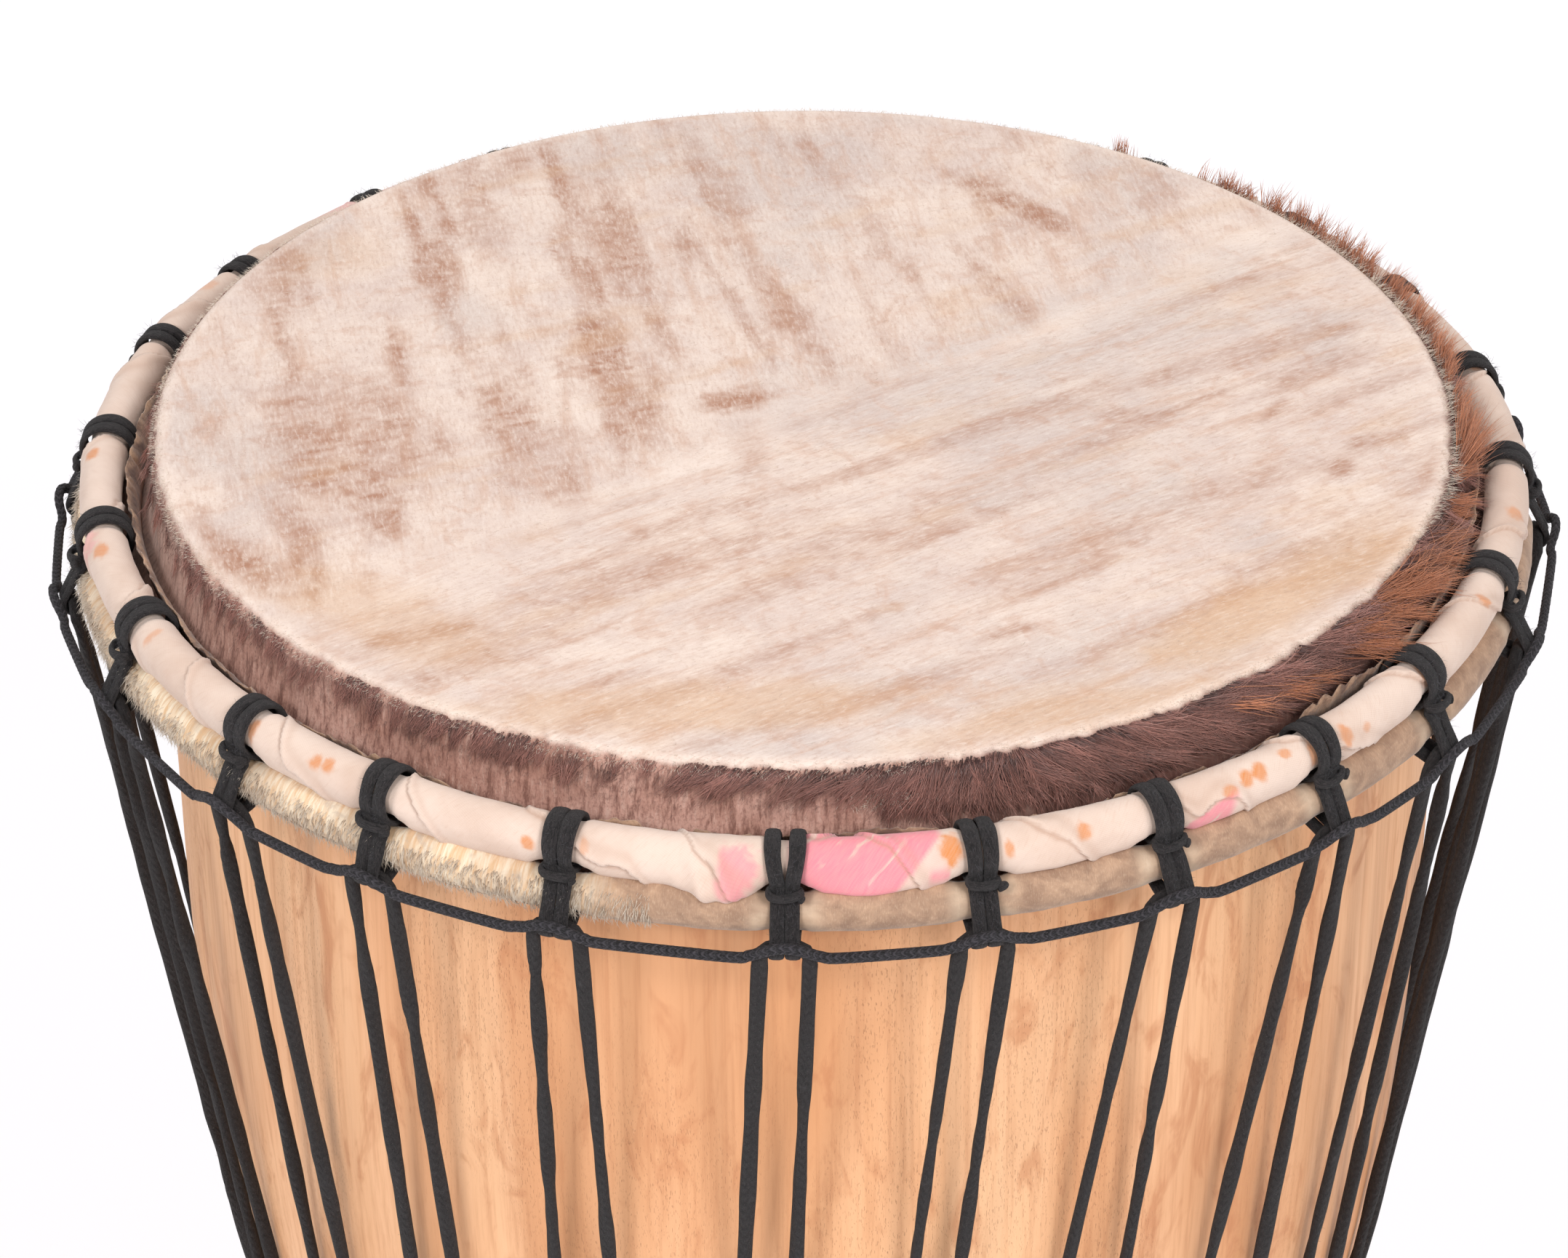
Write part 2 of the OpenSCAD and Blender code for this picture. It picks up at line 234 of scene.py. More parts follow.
class Build:
    """Gathers grids of points into one mesh, with values kept at each point."""

    def __init__(self):
        self.verts, self.quads, self.tris, self.values, self.count = [], [], [], {}, 0

    def add(self, points, quads, tris, **values):
        """Each value has a row for each point, and each call gives the same ones."""
        self.verts.append(points)
        self.quads.append(np.asarray(quads) + self.count)
        self.tris.append(np.asarray(tris) + self.count)
        for key, value in values.items():
            self.values.setdefault(key, []).append(value)
        self.count += len(points)

    def grid(self, p, closed=False, flip=False, **values):
        """A tube of rings of points: closed joins its last ring to its first, else each end gets a cap."""
        n, m = p.shape[:2]
        rows = np.arange(n if closed else n - 1)
        i, j = [x.ravel() for x in np.meshgrid(rows, np.arange(m), indexing="ij")]
        i2, j2 = (i + 1) % n, (j + 1) % m
        quads = np.stack([i * m + j, i2 * m + j, i2 * m + j2, i * m + j2], -1)
        tris = np.zeros((0, 3), int)
        points = p.reshape(-1, 3)
        for key, value in values.items():
            size = np.shape(value)[2:]
            values[key] = np.broadcast_to(value, (n, m) + size).reshape((n * m,) + size)
        if not closed:
            points = np.concatenate([points, [p[0].mean(0), p[-1].mean(0)]])
            values = {key: np.concatenate([v, v[:1], v[-1:]]) for key, v in values.items()}
            k = np.arange(m)
            k2, last = (k + 1) % m, (n - 1) * m
            tris = np.concatenate([np.stack([k, k2, np.full(m, n * m)], -1),
                                   np.stack([last + k2, last + k, np.full(m, n * m + 1)], -1)])
        if flip:
            quads, tris = quads[:, ::-1], tris[:, ::-1]
        self.add(points, quads, tris, **values)

    def strand(self, path, normals, half_w, half_t, sides=10, closed=False, twist=0.0, **values):
        """A flat strand swept along path. normals point out of its flat face, and its sizes may vary."""
        ahead = np.roll(path, -1, 0) if closed else np.concatenate([path[1:], path[-1:]])
        behind = np.roll(path, 1, 0) if closed else np.concatenate([path[:1], path[:-1]])
        d = unit(ahead - behind)
        n = unit(normals - (normals * d).sum(-1, keepdims=True) * d)
        b = np.cross(d, n)
        s = np.concatenate([[0], np.cumsum(np.linalg.norm(np.diff(path, axis=0), axis=1))])
        a = np.arange(sides) * TAU / sides
        x = np.sign(np.cos(a)) * abs(np.cos(a)) ** SQUARENESS
        y = np.sign(np.sin(a)) * abs(np.sin(a)) ** SQUARENESS
        w = np.broadcast_to(half_w, s.shape)[:, None] * x
        t = np.broadcast_to(half_t, s.shape)[:, None] * y
        turn = np.broadcast_to(twist, s.shape)[:, None]
        c, q = np.cos(turn), np.sin(turn)
        across, up = w * c - t * q, w * q + t * c
        p = path[:, None] + across[..., None] * b[:, None] + up[..., None] * n[:, None]
        pattern_start = 37 * self.count % 1000
        lay = np.stack([np.broadcast_to(s[:, None], w.shape) + pattern_start, w, t], -1)
        marks = {k: np.broadcast_to(np.reshape(v, (-1, 1)), w.shape) for k, v in values.items()}
        self.grid(p, closed, flip=True, lay=lay, **marks)

    def make(self, name, materials, stands_for=(), second_from=None):
        """The finished piece. Its quads from number second_from on have the second material."""
        quads, tris = np.concatenate(self.quads), np.concatenate(self.tris)
        mesh = bpy.data.meshes.new(name)
        mesh.from_pydata((np.concatenate(self.verts) * MM).tolist(), [], quads.tolist() + tris.tolist())
        for m in materials:
            mesh.materials.append(m)
        if second_from:
            which = np.zeros(len(mesh.polygons), np.int32)
            which[second_from:len(quads)] = 1
            mesh.polygons.foreach_set("material_index", which)
        mesh.polygons.foreach_set("use_smooth", np.full(len(mesh.polygons), True))
        for key, parts in self.values.items():
            v = np.concatenate(parts).astype(np.float32)
            kind, field = ("FLOAT_VECTOR", "vector") if v.ndim == 2 else ("FLOAT", "value")
            mesh.attributes.new(key, kind, "POINT").data.foreach_set(field, v.ravel())
        mesh.update()
        piece = bpy.data.objects.new(name, mesh)
        bpy.context.scene.collection.objects.link(piece)
        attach(piece, "root")
        if stands_for:
            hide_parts(*stands_for)


def hair_tubes(build, line, radius, **values):
    """Tapered hairs along lines of points, given as (hair, point, xyz)."""
    n, rings = line.shape[0], line.shape[1] - 1
    d = unit(np.gradient(line, axis=1))
    side = unit(np.cross(d, rng.normal(size=(n, 1, 3))))
    over = np.cross(d, side)
    t = np.linspace(0, 1, rings + 1)[None, :-1, None]
    size = np.reshape(radius, (-1, 1, 1)) * (1 - 0.75 * t)
    corners = [math.cos(k * TAU / 3) * side + math.sin(k * TAU / 3) * over for k in range(3)]
    body = np.stack([line[:, :-1] + c[:, :-1] * size for c in corners], 2).reshape(n, -1, 3)
    every = np.concatenate([body, line[:, -1:]], 1)
    per = every.shape[1]
    edges = [(0, 1), (1, 2), (2, 0)]
    quads = [[r + k, r + k2, r + 3 + k2, r + 3 + k] for r in range(0, 3 * rings - 3, 3) for k, k2 in edges]
    last = 3 * rings - 3
    tris = [[last + k, last + k2, per - 1] for k, k2 in edges] + [[0, 2, 1]]
    start = (np.arange(n) * per)[:, None, None]
    along = np.concatenate([np.repeat(np.linspace(0, 1, rings + 1)[:-1], 3), [1.0]])
    marks = {k: np.repeat(np.broadcast_to(v, (n,)), per) for k, v in values.items()}
    build.add(every.reshape(-1, 3), (np.array(quads) + start).reshape(-1, 4),
              (np.array(tris) + start).reshape(-1, 3), along=np.tile(along, n), **marks)


def hairs(build, roots, ways, lengths, radius, rise=0.0, curl=0.0, rings=4, **values):
    """Hairs from roots along ways. rise bends the tips up, and curl bends each one to its own side."""
    t = np.linspace(0, 1, rings + 1)[None, :, None]
    length = np.asarray(lengths)[:, None, None]
    ways = unit(ways)
    side = unit(np.cross(ways, rng.normal(size=ways.shape)))
    line = roots[:, None] + ways[:, None] * length * t
    line = line + side[:, None] * length * t ** 2 * np.reshape(curl, (-1, 1, 1))
    line[..., 2] += (rise * length * t ** 2)[..., 0]
    hair_tubes(build, line, radius, **values)


# ---------------------------------------------------------------- materials
def srgb(r, g, b):
    """A colour as seen on a screen, 0 to 255, as the linear one that shaders use."""
    linear = [v / 255 / 12.92 if v <= 10 else ((v / 255 + 0.055) / 1.055) ** 2.4 for v in (r, g, b)]
    return (*linear, 1.0)


class Shader:
    """A material with a Principled shader, and short ways to add nodes to it."""

    def __init__(self, name, **fixed):
        self.material = bpy.data.materials.new(name)
        self.material.use_nodes = True
        self.tree = self.material.node_tree
        self.shader = self.tree.nodes["Principled BSDF"]
        for key, value in fixed.items():
            self.shader.inputs[key.replace("_", " ")].default_value = value
        self.object_xyz = self.node("ShaderNodeTexCoord").outputs["Object"]

    def node(self, kind, inputs=(), **settings):
        made = self.tree.nodes.new(kind)
        for key, value in settings.items():
            setattr(made, key, value)
        for key, value in dict(inputs).items():
            if isinstance(value, bpy.types.NodeSocket):
                self.tree.links.new(value, made.inputs[key])
            else:
                made.inputs[key].default_value = value
        return made

    def attribute(self, name, vector=False):
        return self.node("ShaderNodeAttribute", attribute_name=name).outputs["Vector" if vector else "Fac"]

    def scaled(self, vector, x, y, z):
        return self.node("ShaderNodeVectorMath", {0: vector, 1: (x, y, z)}, operation="MULTIPLY").outputs[0]

    def upright(self, share):
        """The place on the drum with heights scaled, which draws a noise's features out along Z."""
        return self.scaled(self.object_xyz, 1, 1, share)

    def noise(self, scale, vector=None, detail=4.0, rough=0.55, distortion=0.0):
        inputs = {"Vector": vector or self.object_xyz, "Scale": scale, "Detail": detail, "Roughness": rough,
                  "Distortion": distortion}
        return self.node("ShaderNodeTexNoise", inputs).outputs["Fac"]

    def math(self, operation, a, b=0.0, clamp=False):
        return self.node("ShaderNodeMath", {0: a, 1: b}, operation=operation, use_clamp=clamp).outputs[0]

    def times(self, a, b, clamp=False):
        return self.math("MULTIPLY", a, b, clamp)

    def band(self, value, low, high, out_low=0.0, out_high=1.0):
        """value taken from low..high to out_low..out_high, smoothly and clamped."""
        inputs = {"Value": value, "From Min": low, "From Max": high, "To Min": out_low, "To Max": out_high}
        return self.node("ShaderNodeMapRange", inputs, interpolation_type="SMOOTHSTEP").outputs["Result"]

    def mix(self, amount, a, b, blend="MIX"):
        made = self.node("ShaderNodeMix", {"Factor": amount}, data_type="RGBA", blend_type=blend)
        for socket, value in ((made.inputs[6], a), (made.inputs[7], b)):
            if isinstance(value, bpy.types.NodeSocket):
                self.tree.links.new(value, socket)
            else:
                socket.default_value = value
        return made.outputs[2]

    def tint(self, colour, mask, amount, *rgb):
        """The colour with some of another over it, where the mask is."""
        return self.mix(self.times(mask, amount), colour, srgb(*rgb))

    def set(self, **links):
        for key, value in links.items():
            self.tree.links.new(value, self.shader.inputs[key.replace("_", " ")])

    def bump(self, *layers):
        """Each layer is (height, depth in mm)."""
        normal = None
        for height, depth in layers:
            made = self.node("ShaderNodeBump", {"Height": height, "Distance": depth * MM, "Strength": 1.0})
            if normal:
                self.tree.links.new(normal, made.inputs["Normal"])
            normal = made.outputs["Normal"]
        self.set(Normal=normal)


def wood_material():
    """Planed, thinly oiled hardwood with an upright grain."""
    s = Shader("carved_wood", Roughness=0.55, Specular_IOR_Level=0.3)
    bands = s.noise(40, s.upright(0.05), 5, 0.6, 0.5)
    fine = s.noise(520, s.upright(0.03), 4, 0.7)
    broad = s.noise(10, s.upright(0.4), 3, 0.5, 0.8)
    figure = s.noise(70, s.upright(0.35), 4, 0.6, 1.5)
    pores = s.band(s.noise(4800, s.upright(0.12), 1, 0.5), 0.64, 0.72)
    pore_zone = s.band(s.noise(30, s.upright(0.25), 3, 0.5), 0.42, 0.66)
    pores = s.times(pores, pore_zone)
    colour = s.mix(s.band(bands, 0.3, 0.7), srgb(243, 191, 148), srgb(230, 172, 126))
    colour = s.tint(colour, s.band(broad, 0.45, 0.66), 0.6, 240, 192, 148)
    colour = s.tint(colour, s.band(broad, 0.5, 0.34), 0.5, 208, 140, 92)
    colour = s.tint(colour, s.band(figure, 0.52, 0.7), 0.6, 196, 128, 86)
    colour = s.tint(colour, s.band(fine, 0.42, 0.75), 0.42, 192, 128, 88)
    colour = s.tint(colour, pores, 0.32, 160, 96, 66)
    colour = s.mix(s.attribute("wear"), colour, srgb(150, 104, 70))
    colour = s.mix(s.attribute("scratch"), colour, srgb(150, 120, 100))
    s.set(Base_Color=colour, Roughness=s.band(fine, 0.2, 0.8, 0.5, 0.68))
    s.bump((pores, -0.1), (fine, 0.04))
    return s.material


def skin_material():
    """Shaved goat skin with drawn-out marks, and the darker hide of its collar."""
    s = Shader("goat_skin", Roughness=0.8, Specular_IOR_Level=0.25, Sheen_Weight=0.12, Sheen_Roughness=0.5)

    def strokes(degrees, long, short):
        """Noise drawn out along an angle, with features of these sizes in mm."""
        turned = s.node("ShaderNodeVectorRotate", {"Vector": s.object_xyz, "Angle": -math.radians(degrees)},
                        rotation_type="Z_AXIS").outputs[0]
        return s.noise(1.0, s.scaled(turned, 1000 / long, 1000 / short, 300), 4, 0.65, 0.4)

    def by_side(upper, lower):
        """The upper value at the back left of the ridge over the head, and the lower one in front of it."""
        inputs = {"Factor": s.attribute("upper"), 2: lower, 3: upper}
        return s.node("ShaderNodeMix", inputs, data_type="FLOAT").outputs[0]

    nap = s.noise(520, s.object_xyz, 4, 0.7)
    speck = s.noise(1500, s.object_xyz, 2, 0.6)
    cloud = s.noise(38, s.object_xyz, 5, 0.65)
    mottle = s.noise(110, s.object_xyz, 4, 0.65, 0.6)
    fine = by_side(strokes(99, 3.4, 0.9), strokes(32, 3.8, 0.9))
    wide = by_side(strokes(101, 40, 8), strokes(34, 44, 6))
    colour = s.mix(s.band(cloud, 0.3, 0.7), srgb(228, 208, 195), srgb(213, 192, 182))
    brown = s.times(s.attribute("brown"), s.band(mottle, 0.3, 0.66, 0.6, 1.25))
    brown = s.times(brown, s.band(fine, 0.25, 0.7, 0.75, 1.25), clamp=True)
    colour = s.tint(colour, s.attribute("grey"), 0.8, 196, 182, 177)
    colour = s.tint(colour, s.band(wide, 0.48, 0.7), 0.55, 200, 162, 140)
    colour = s.tint(colour, s.band(mottle, 0.5, 0.7), 0.42, 198, 158, 136)
    colour = s.mix(brown, colour, srgb(168, 119, 94))
    colour = s.tint(colour, s.attribute("ochre"), 0.8, 206, 163, 122)
    colour = s.mix(s.attribute("pale"), colour, srgb(238, 221, 209))
    colour = s.tint(colour, s.band(fine, 0.5, 0.72), 0.34, 172, 140, 124)
    colour = s.tint(colour, s.band(fine, 0.5, 0.3), 0.24, 244, 232, 224)
    colour = s.tint(colour, s.band(speck, 0.56, 0.76), 0.22, 176, 128, 104)
    hide = s.mix(s.band(cloud, 0.3, 0.7), srgb(166, 122, 107), srgb(202, 160, 146))
    upright = s.noise(700, s.upright(0.16), 4, 0.7, 0.3)
    hide = s.tint(hide, s.band(upright, 0.46, 0.66), 0.75, 106, 68, 58)
    hide = s.tint(hide, s.band(upright, 0.46, 0.3), 0.5, 216, 184, 170)
    hide = s.tint(hide, s.band(speck, 0.45, 0.8), 0.5, 108, 72, 63)
    colour = s.mix(s.attribute("collar"), colour, hide)
    colour = s.mix(s.attribute("dark"), colour, srgb(104, 68, 60))
    colour = s.tint(colour, s.band(nap, 0.52, 0.78), 0.25, 172, 142, 124)
    s.set(Base_Color=colour, Roughness=s.band(nap, 0.2, 0.8, 0.7, 0.92))
    lines = s.times(upright, s.attribute("collar"))
    s.bump((nap, 0.16), (speck, 0.07), (fine, 0.08), (lines, 0.3))
    return s.material


def rawhide_material():
    """The skin's inner face."""
    s = Shader("rawhide_underside", Roughness=0.6, Specular_IOR_Level=0.3)
    cloud = s.noise(30, s.object_xyz, 5, 0.6, 0.8)
    fibre = s.noise(260, s.object_xyz, 4, 0.7)
    colour = s.mix(s.band(cloud, 0.3, 0.7), srgb(190, 160, 120), srgb(150, 118, 84))
    colour = s.tint(colour, s.band(fibre, 0.5, 0.8), 0.5, 120, 90, 64)
    s.set(Base_Color=colour, Roughness=s.band(fibre, 0.2, 0.8, 0.5, 0.7))
    s.bump((fibre, 0.12))
    return s.material


def roll_material():
    """Hide rolled round the flesh ring: golden hair on the left, bare mottled hide on the right."""
    s = Shader("rolled_hide", Roughness=0.85, Specular_IOR_Level=0.25, Sheen_Weight=0.25,
               Sheen_Roughness=0.45)
    lay = s.attribute("lay", True)
    lines = s.noise(1.0, s.scaled(lay, 0.9, 0.1, 1), 4, 0.65, 0.5)
    cloud = s.noise(1.0, s.scaled(lay, 0.16, 0.2, 1), 5, 0.6, 0.6)
    speck = s.noise(900, s.object_xyz, 3, 0.7)
    fur = s.mix(s.band(lines, 0.35, 0.65), srgb(250, 236, 212), srgb(226, 188, 146))
    fur = s.mix(s.band(cloud, 0.5, 0.75), fur, srgb(208, 192, 174))
    nap = s.noise(1.0, s.scaled(lay, 3.2, 0.8, 1), 4, 0.7)
    bare = s.mix(s.band(cloud, 0.3, 0.7), srgb(186, 152, 126), srgb(148, 118, 98))
    bare = s.tint(bare, s.band(nap, 0.45, 0.75), 0.4, 142, 114, 94)
    bare = s.tint(bare, s.band(nap, 0.5, 0.25), 0.35, 220, 198, 172)
    worn = s.times(s.attribute("worn"), s.band(nap, 0.25, 0.6, 0.5, 1.0))
    bare = s.mix(worn, bare, srgb(226, 202, 176))
    colour = s.mix(s.attribute("furry"), bare, fur)
    s.set(Base_Color=colour, Roughness=s.band(speck, 0.2, 0.8, 0.75, 0.95))
    s.bump((speck, 0.08), (s.times(lines, s.attribute("furry")), 0.3))
    return s.material


def edge_material():
    """The skin's frayed cut edge."""
    s = Shader("frayed_edge", Roughness=0.9, Specular_IOR_Level=0.2, Sheen_Weight=0.3)
    cloud = s.noise(160, s.object_xyz, 4, 0.6)
    speck = s.noise(1300, s.object_xyz, 3, 0.7)
    colour = s.mix(s.band(cloud, 0.35, 0.65), srgb(112, 86, 74), srgb(186, 152, 126))
    colour = s.tint(colour, s.band(speck, 0.5, 0.8), 0.6, 74, 50, 42)
    s.set(Base_Color=colour, Roughness=s.band(speck, 0.2, 0.8, 0.8, 0.97))
    s.bump((speck, 0.2))
    return s.material


def hair_material(name, root, tip, rough=0.55):
    """Hair from its root's colour to its tip's. tone makes a whole hair lighter."""
    s = Shader(name, Roughness=rough, Specular_IOR_Level=0.55, Sheen_Weight=0.1)
    tone = s.attribute("tone")
    colour = s.mix(s.times(s.attribute("along"), 0.75), srgb(*root), srgb(*tip))
    colour = s.mix(s.times(tone, 0.65), colour, srgb(*tip))
    grain = s.noise(900, s.object_xyz, 2)
    colour = s.mix(s.times(grain, 0.3), colour, srgb(*root))
    s.set(Base_Color=colour, Roughness=s.band(grain, 0.3, 0.7, rough - 0.1, rough + 0.1))
    return s.material


def cloth_material(name, cream, shade):
    """Wound cotton strip. lay is (mm along the strip, mm across it, unused)."""
    s = Shader(name, Roughness=0.9, Specular_IOR_Level=0.2, Sheen_Weight=0.2, Sheen_Roughness=0.5)
    lay = s.attribute("lay", True)
    warp = s.node("ShaderNodeTexWave", {"Vector": lay, "Scale": 0.62, "Distortion": 0.8, "Detail": 1.0},
                  bands_direction="X").outputs["Fac"]
    weft = s.node("ShaderNodeTexWave", {"Vector": lay, "Scale": 0.95, "Distortion": 0.8, "Detail": 1.0},
                  bands_direction="Y").outputs["Fac"]
    weave = s.times(warp, weft)
    cloud = s.noise(45, s.object_xyz, 4, 0.6)
    slub = s.noise(1.0, s.scaled(lay, 0.2, 2.2, 1), 3, 0.6)
    colour = s.mix(s.band(cloud, 0.32, 0.68), cream, shade)
    colour = s.tint(colour, s.band(slub, 0.5, 0.75), 0.25, 198, 160, 136)
    faded = s.band(slub, 0.2, 0.75, 1.0, 0.72)
    stripes = s.band(s.noise(1.0, s.scaled(lay, 0.07, 0.3, 1), 3, 0.55, 0.6), 0.58, 0.68)
    printed = s.math("SUBTRACT", 1.0, s.times(stripes, 0.8))
    pink = s.times(s.times(s.attribute("pink"), faded), printed)
    colour = s.mix(pink, colour, srgb(236, 132, 148))
    colour = s.mix(s.times(s.attribute("orange"), faded), colour, srgb(214, 132, 66))
    # Painted shade in the creases where each wrap of the strip overlaps the next.
    colour = s.tint(colour, s.attribute("overlap_shade"), 0.55, 176, 138, 116)
    colour = s.tint(colour, s.band(weave, 0.1, 0.5), 0.1, 170, 136, 116)
    s.set(Base_Color=colour, Roughness=s.band(weave, 0, 0.6, 0.85, 0.97))
    s.bump((weave, 0.03), (slub, 0.06))
    return s.material


def rope_material(name, dark, light, lines, plaited):
    """Black rope. lay is (mm along, mm across, mm through), and lines is how many braid steps fill a mm."""
    s = Shader(name, Roughness=0.85, Specular_IOR_Level=0.25, Sheen_Weight=0.08, Sheen_Roughness=0.5)
    lay = s.attribute("lay", True)
    part = s.node("ShaderNodeSeparateXYZ", {0: lay})
    turn = s.math("ARCTAN2", part.outputs["Z"], part.outputs["Y"])
    run = s.times(part.outputs["X"], lines * TAU)
    column = s.math("ABSOLUTE", s.math("SINE", s.times(turn, 2.0)))
    plait = s.math("SINE", s.math("ADD", run, s.times(column, 3.6)))
    fibre = s.noise(1.0, s.scaled(lay, 1.1, 3.2, 3.2), 5, 0.75, 0.8)
    fleck = s.band(s.noise(2400, s.object_xyz, 3, 0.65), 0.6, 0.74)
    dust = s.noise(210, s.object_xyz, 4, 0.7)
    colour = s.mix(s.band(fibre, 0.38, 0.7), dark, light)
    colour = s.mix(s.times(s.band(plait, -0.2, 1.0), 0.6 * plaited), colour, light)
    colour = s.tint(colour, s.band(dust, 0.6, 0.8), 0.2, 112, 108, 110)
    colour = s.tint(colour, fleck, 0.35, 142, 134, 132)
    colour = s.mix(s.attribute("rusty"), colour, srgb(104, 66, 40))
    s.set(Base_Color=colour, Roughness=s.band(fibre, 0.2, 0.8, 0.75, 0.95))
    s.bump((plait, 0.4 * plaited), (fibre, 0.6), (fleck, 0.1))
    return s.material


def steel_material():
    """Bare drawn rod with a little rust."""
    s = Shader("steel_rod", Metallic=1.0)
    draw = s.noise(300, s.object_xyz, 4, 0.6)
    rust = s.band(s.noise(60, s.object_xyz, 5, 0.65), 0.55, 0.7)
    colour = s.mix(draw, srgb(150, 148, 146), srgb(120, 118, 116))
    colour = s.tint(colour, rust, 0.7, 110, 72, 48)
    s.set(Base_Color=colour, Roughness=s.band(draw, 0.2, 0.8, 0.35, 0.6))
    s.bump((draw, 0.04))
    return s.material


def paper_material():
    """The studio's floor."""
    s = Shader("pale_paper", Roughness=0.9, Specular_IOR_Level=0.1, Emission_Color=(1, 1, 1, 1),
               Emission_Strength=0.12)
    cloud = s.noise(2.2, s.object_xyz, 3)
    s.set(Base_Color=s.mix(cloud, srgb(252, 250, 252), srgb(246, 245, 250)))
    return s.material


WOOD = wood_material()
SKIN = skin_material()
RAWHIDE = rawhide_material()
ROLL = roll_material()
EDGE = edge_material()
CLOTH = cloth_material("cotton_strip", srgb(226, 204, 190), srgb(212, 186, 170))
CLOTH_LOW = cloth_material("cotton_strip_low", srgb(222, 202, 184), srgb(204, 180, 160))
ROPE = rope_material("black_rope", srgb(18, 16, 17), srgb(66, 60, 61), 0.3, 0.1)
FALL = rope_material("black_rope_falls", srgb(24, 21, 21), srgb(56, 50, 51), 0.34, 0.25)
CORD = rope_material("black_cord", srgb(20, 19, 21), srgb(84, 80, 86), 0.52, 1.0)
STEEL = steel_material()
HAIR_DARK = hair_material("long_hair", (56, 30, 27), (206, 146, 132), 0.38)
HAIR_RED = hair_material("russet_hair", (92, 44, 30), (236, 156, 112), 0.4)
HAIR_STUBBLE = hair_material("collar_stubble", (108, 76, 68), (170, 134, 122))
HAIR_PALE = hair_material("pale_fuzz", (214, 194, 172), (248, 238, 226), 0.7)
HAIR_GOLD = hair_material("golden_hair", (150, 118, 88), (252, 242, 226), 0.5)
FLUFF = hair_material("rope_fluff", (30, 30, 33), (92, 90, 98), 0.8)


# ---------------------------------------------------------------- shell
def shell_rows():
    """[radius, height] of the shell's section, up its outside and down its inside, with 1 on the inside."""
    outside = resample(OUTSIDE, 4.2)
    inside = catmull(np.array(SHELL_INSIDE) * [HEAD_R, DRUM_H], 5)
    lip_r = (outside[-1, 0] - inside[-1, 0]) / 2
    lip_top = DRUM_H - 1.35
    lip = arc([inside[-1, 0] + lip_r, lip_top - lip_r], lip_r, 0, 180, 12)
    foot_r = 2.2
    outer_foot = arc([outside[0, 0] - foot_r, foot_r], foot_r, -90, -8, 6)
    inner_foot = arc([inside[0, 0] + foot_r, foot_r], foot_r, 188, 270, 6)
    middle = np.array([[(outside[0, 0] + inside[0, 0]) / 2, 0]])
    down = resample(inside[::-1], 5.0)
    down = down[down[:, 1] > foot_r + 1]
    up = np.concatenate([middle, outer_foot, outside[1:], lip])
    is_inside = np.concatenate([np.zeros(len(up)), np.ones(len(down)), np.zeros(len(inner_foot))])
    return np.concatenate([up, down, inner_foot]), is_inside[:, None]


def gouge_marks(A, Z):
    """Shallow hollows left by the adze, in a brick pattern: -0.3 at their middles."""
    columns, row_h = 34, 26
    across, up = A / 360 * columns, Z / row_h
    across = across + 0.5 * (np.floor(up) % 2)
    jitter = 0.25 * lattice([np.floor(across) % columns, np.floor(up)], 9)
    return ((across % 1 - 0.5) ** 2 + (up % 1 - 0.5) ** 2) * (1.2 + jitter) - 0.3


def make_shell():
    """Smoothed outside, adzed inside."""
    around_n = 300
    rows, is_inside = shell_rows()
    A, R = np.meshgrid(np.arange(around_n) * 360 / around_n, rows[:, 0])
    Z = np.repeat(rows[:, 1:], around_n, 1)
    fade = smoothstep(0, 8, Z) * smoothstep(DRUM_H - 4, DRUM_H - 30, Z)
    carve = 0.28 * ring_noise(A, Z / 60, 4, seed=3) + 0.1 * ring_noise(A, Z / 14, 14, seed=5)
    R = R + np.where(is_inside > 0, -1.5 * gouge_marks(A, Z) - 0.8 * carve, np.minimum(carve, 0.3)) * fade
    wear = 0.6 * smoothstep(6, 0, Z) * (0.5 + 0.5 * ring_noise(A, Z / 3, 40, seed=8))
    wear = np.clip(wear + 0.35 * is_inside, 0, 1)
    line = bell(around(A, -46.5) * math.radians(HEAD_R) + 1.2 * noise(Z / 40, 0 * A, seed=7), 0, 1.1)
    scratch = 0.55 * line * smoothstep(0.3, -0.2, noise(Z / 25, 0 * A, seed=6)) * (is_inside == 0)
    b = Build()
    b.grid(place(R, A, Z), closed=True, wear=wear, scratch=scratch)
    b.make("carved_shell", [WOOD], ["shell"])


# ---------------------------------------------------------------- head skin
def stretched(x, y, angle, long, short):
    """x and y turned to an angle from +X in degrees, in units of a mark's half length and half width."""
    c, s = math.cos(math.radians(angle)), math.sin(math.radians(angle))
    return (x * c + y * s) / long, (y * c - x * s) / short


def streaks(x, y, angle, long, short, seed):
    """Noise drawn out along an angle."""
    return fbm(*stretched(x, y, angle, long, short), octaves=4, seed=seed)


def blot(x, y, mark, warp):
    """A soft-edged mark: cx, cy, half length, half width, angle of the long side, strength."""
    cx, cy, long, short, angle, strength = mark
    return strength * smoothstep(1.25, 0.35, np.hypot(*stretched(x - cx, y - cy, angle, long, short)) + warp)


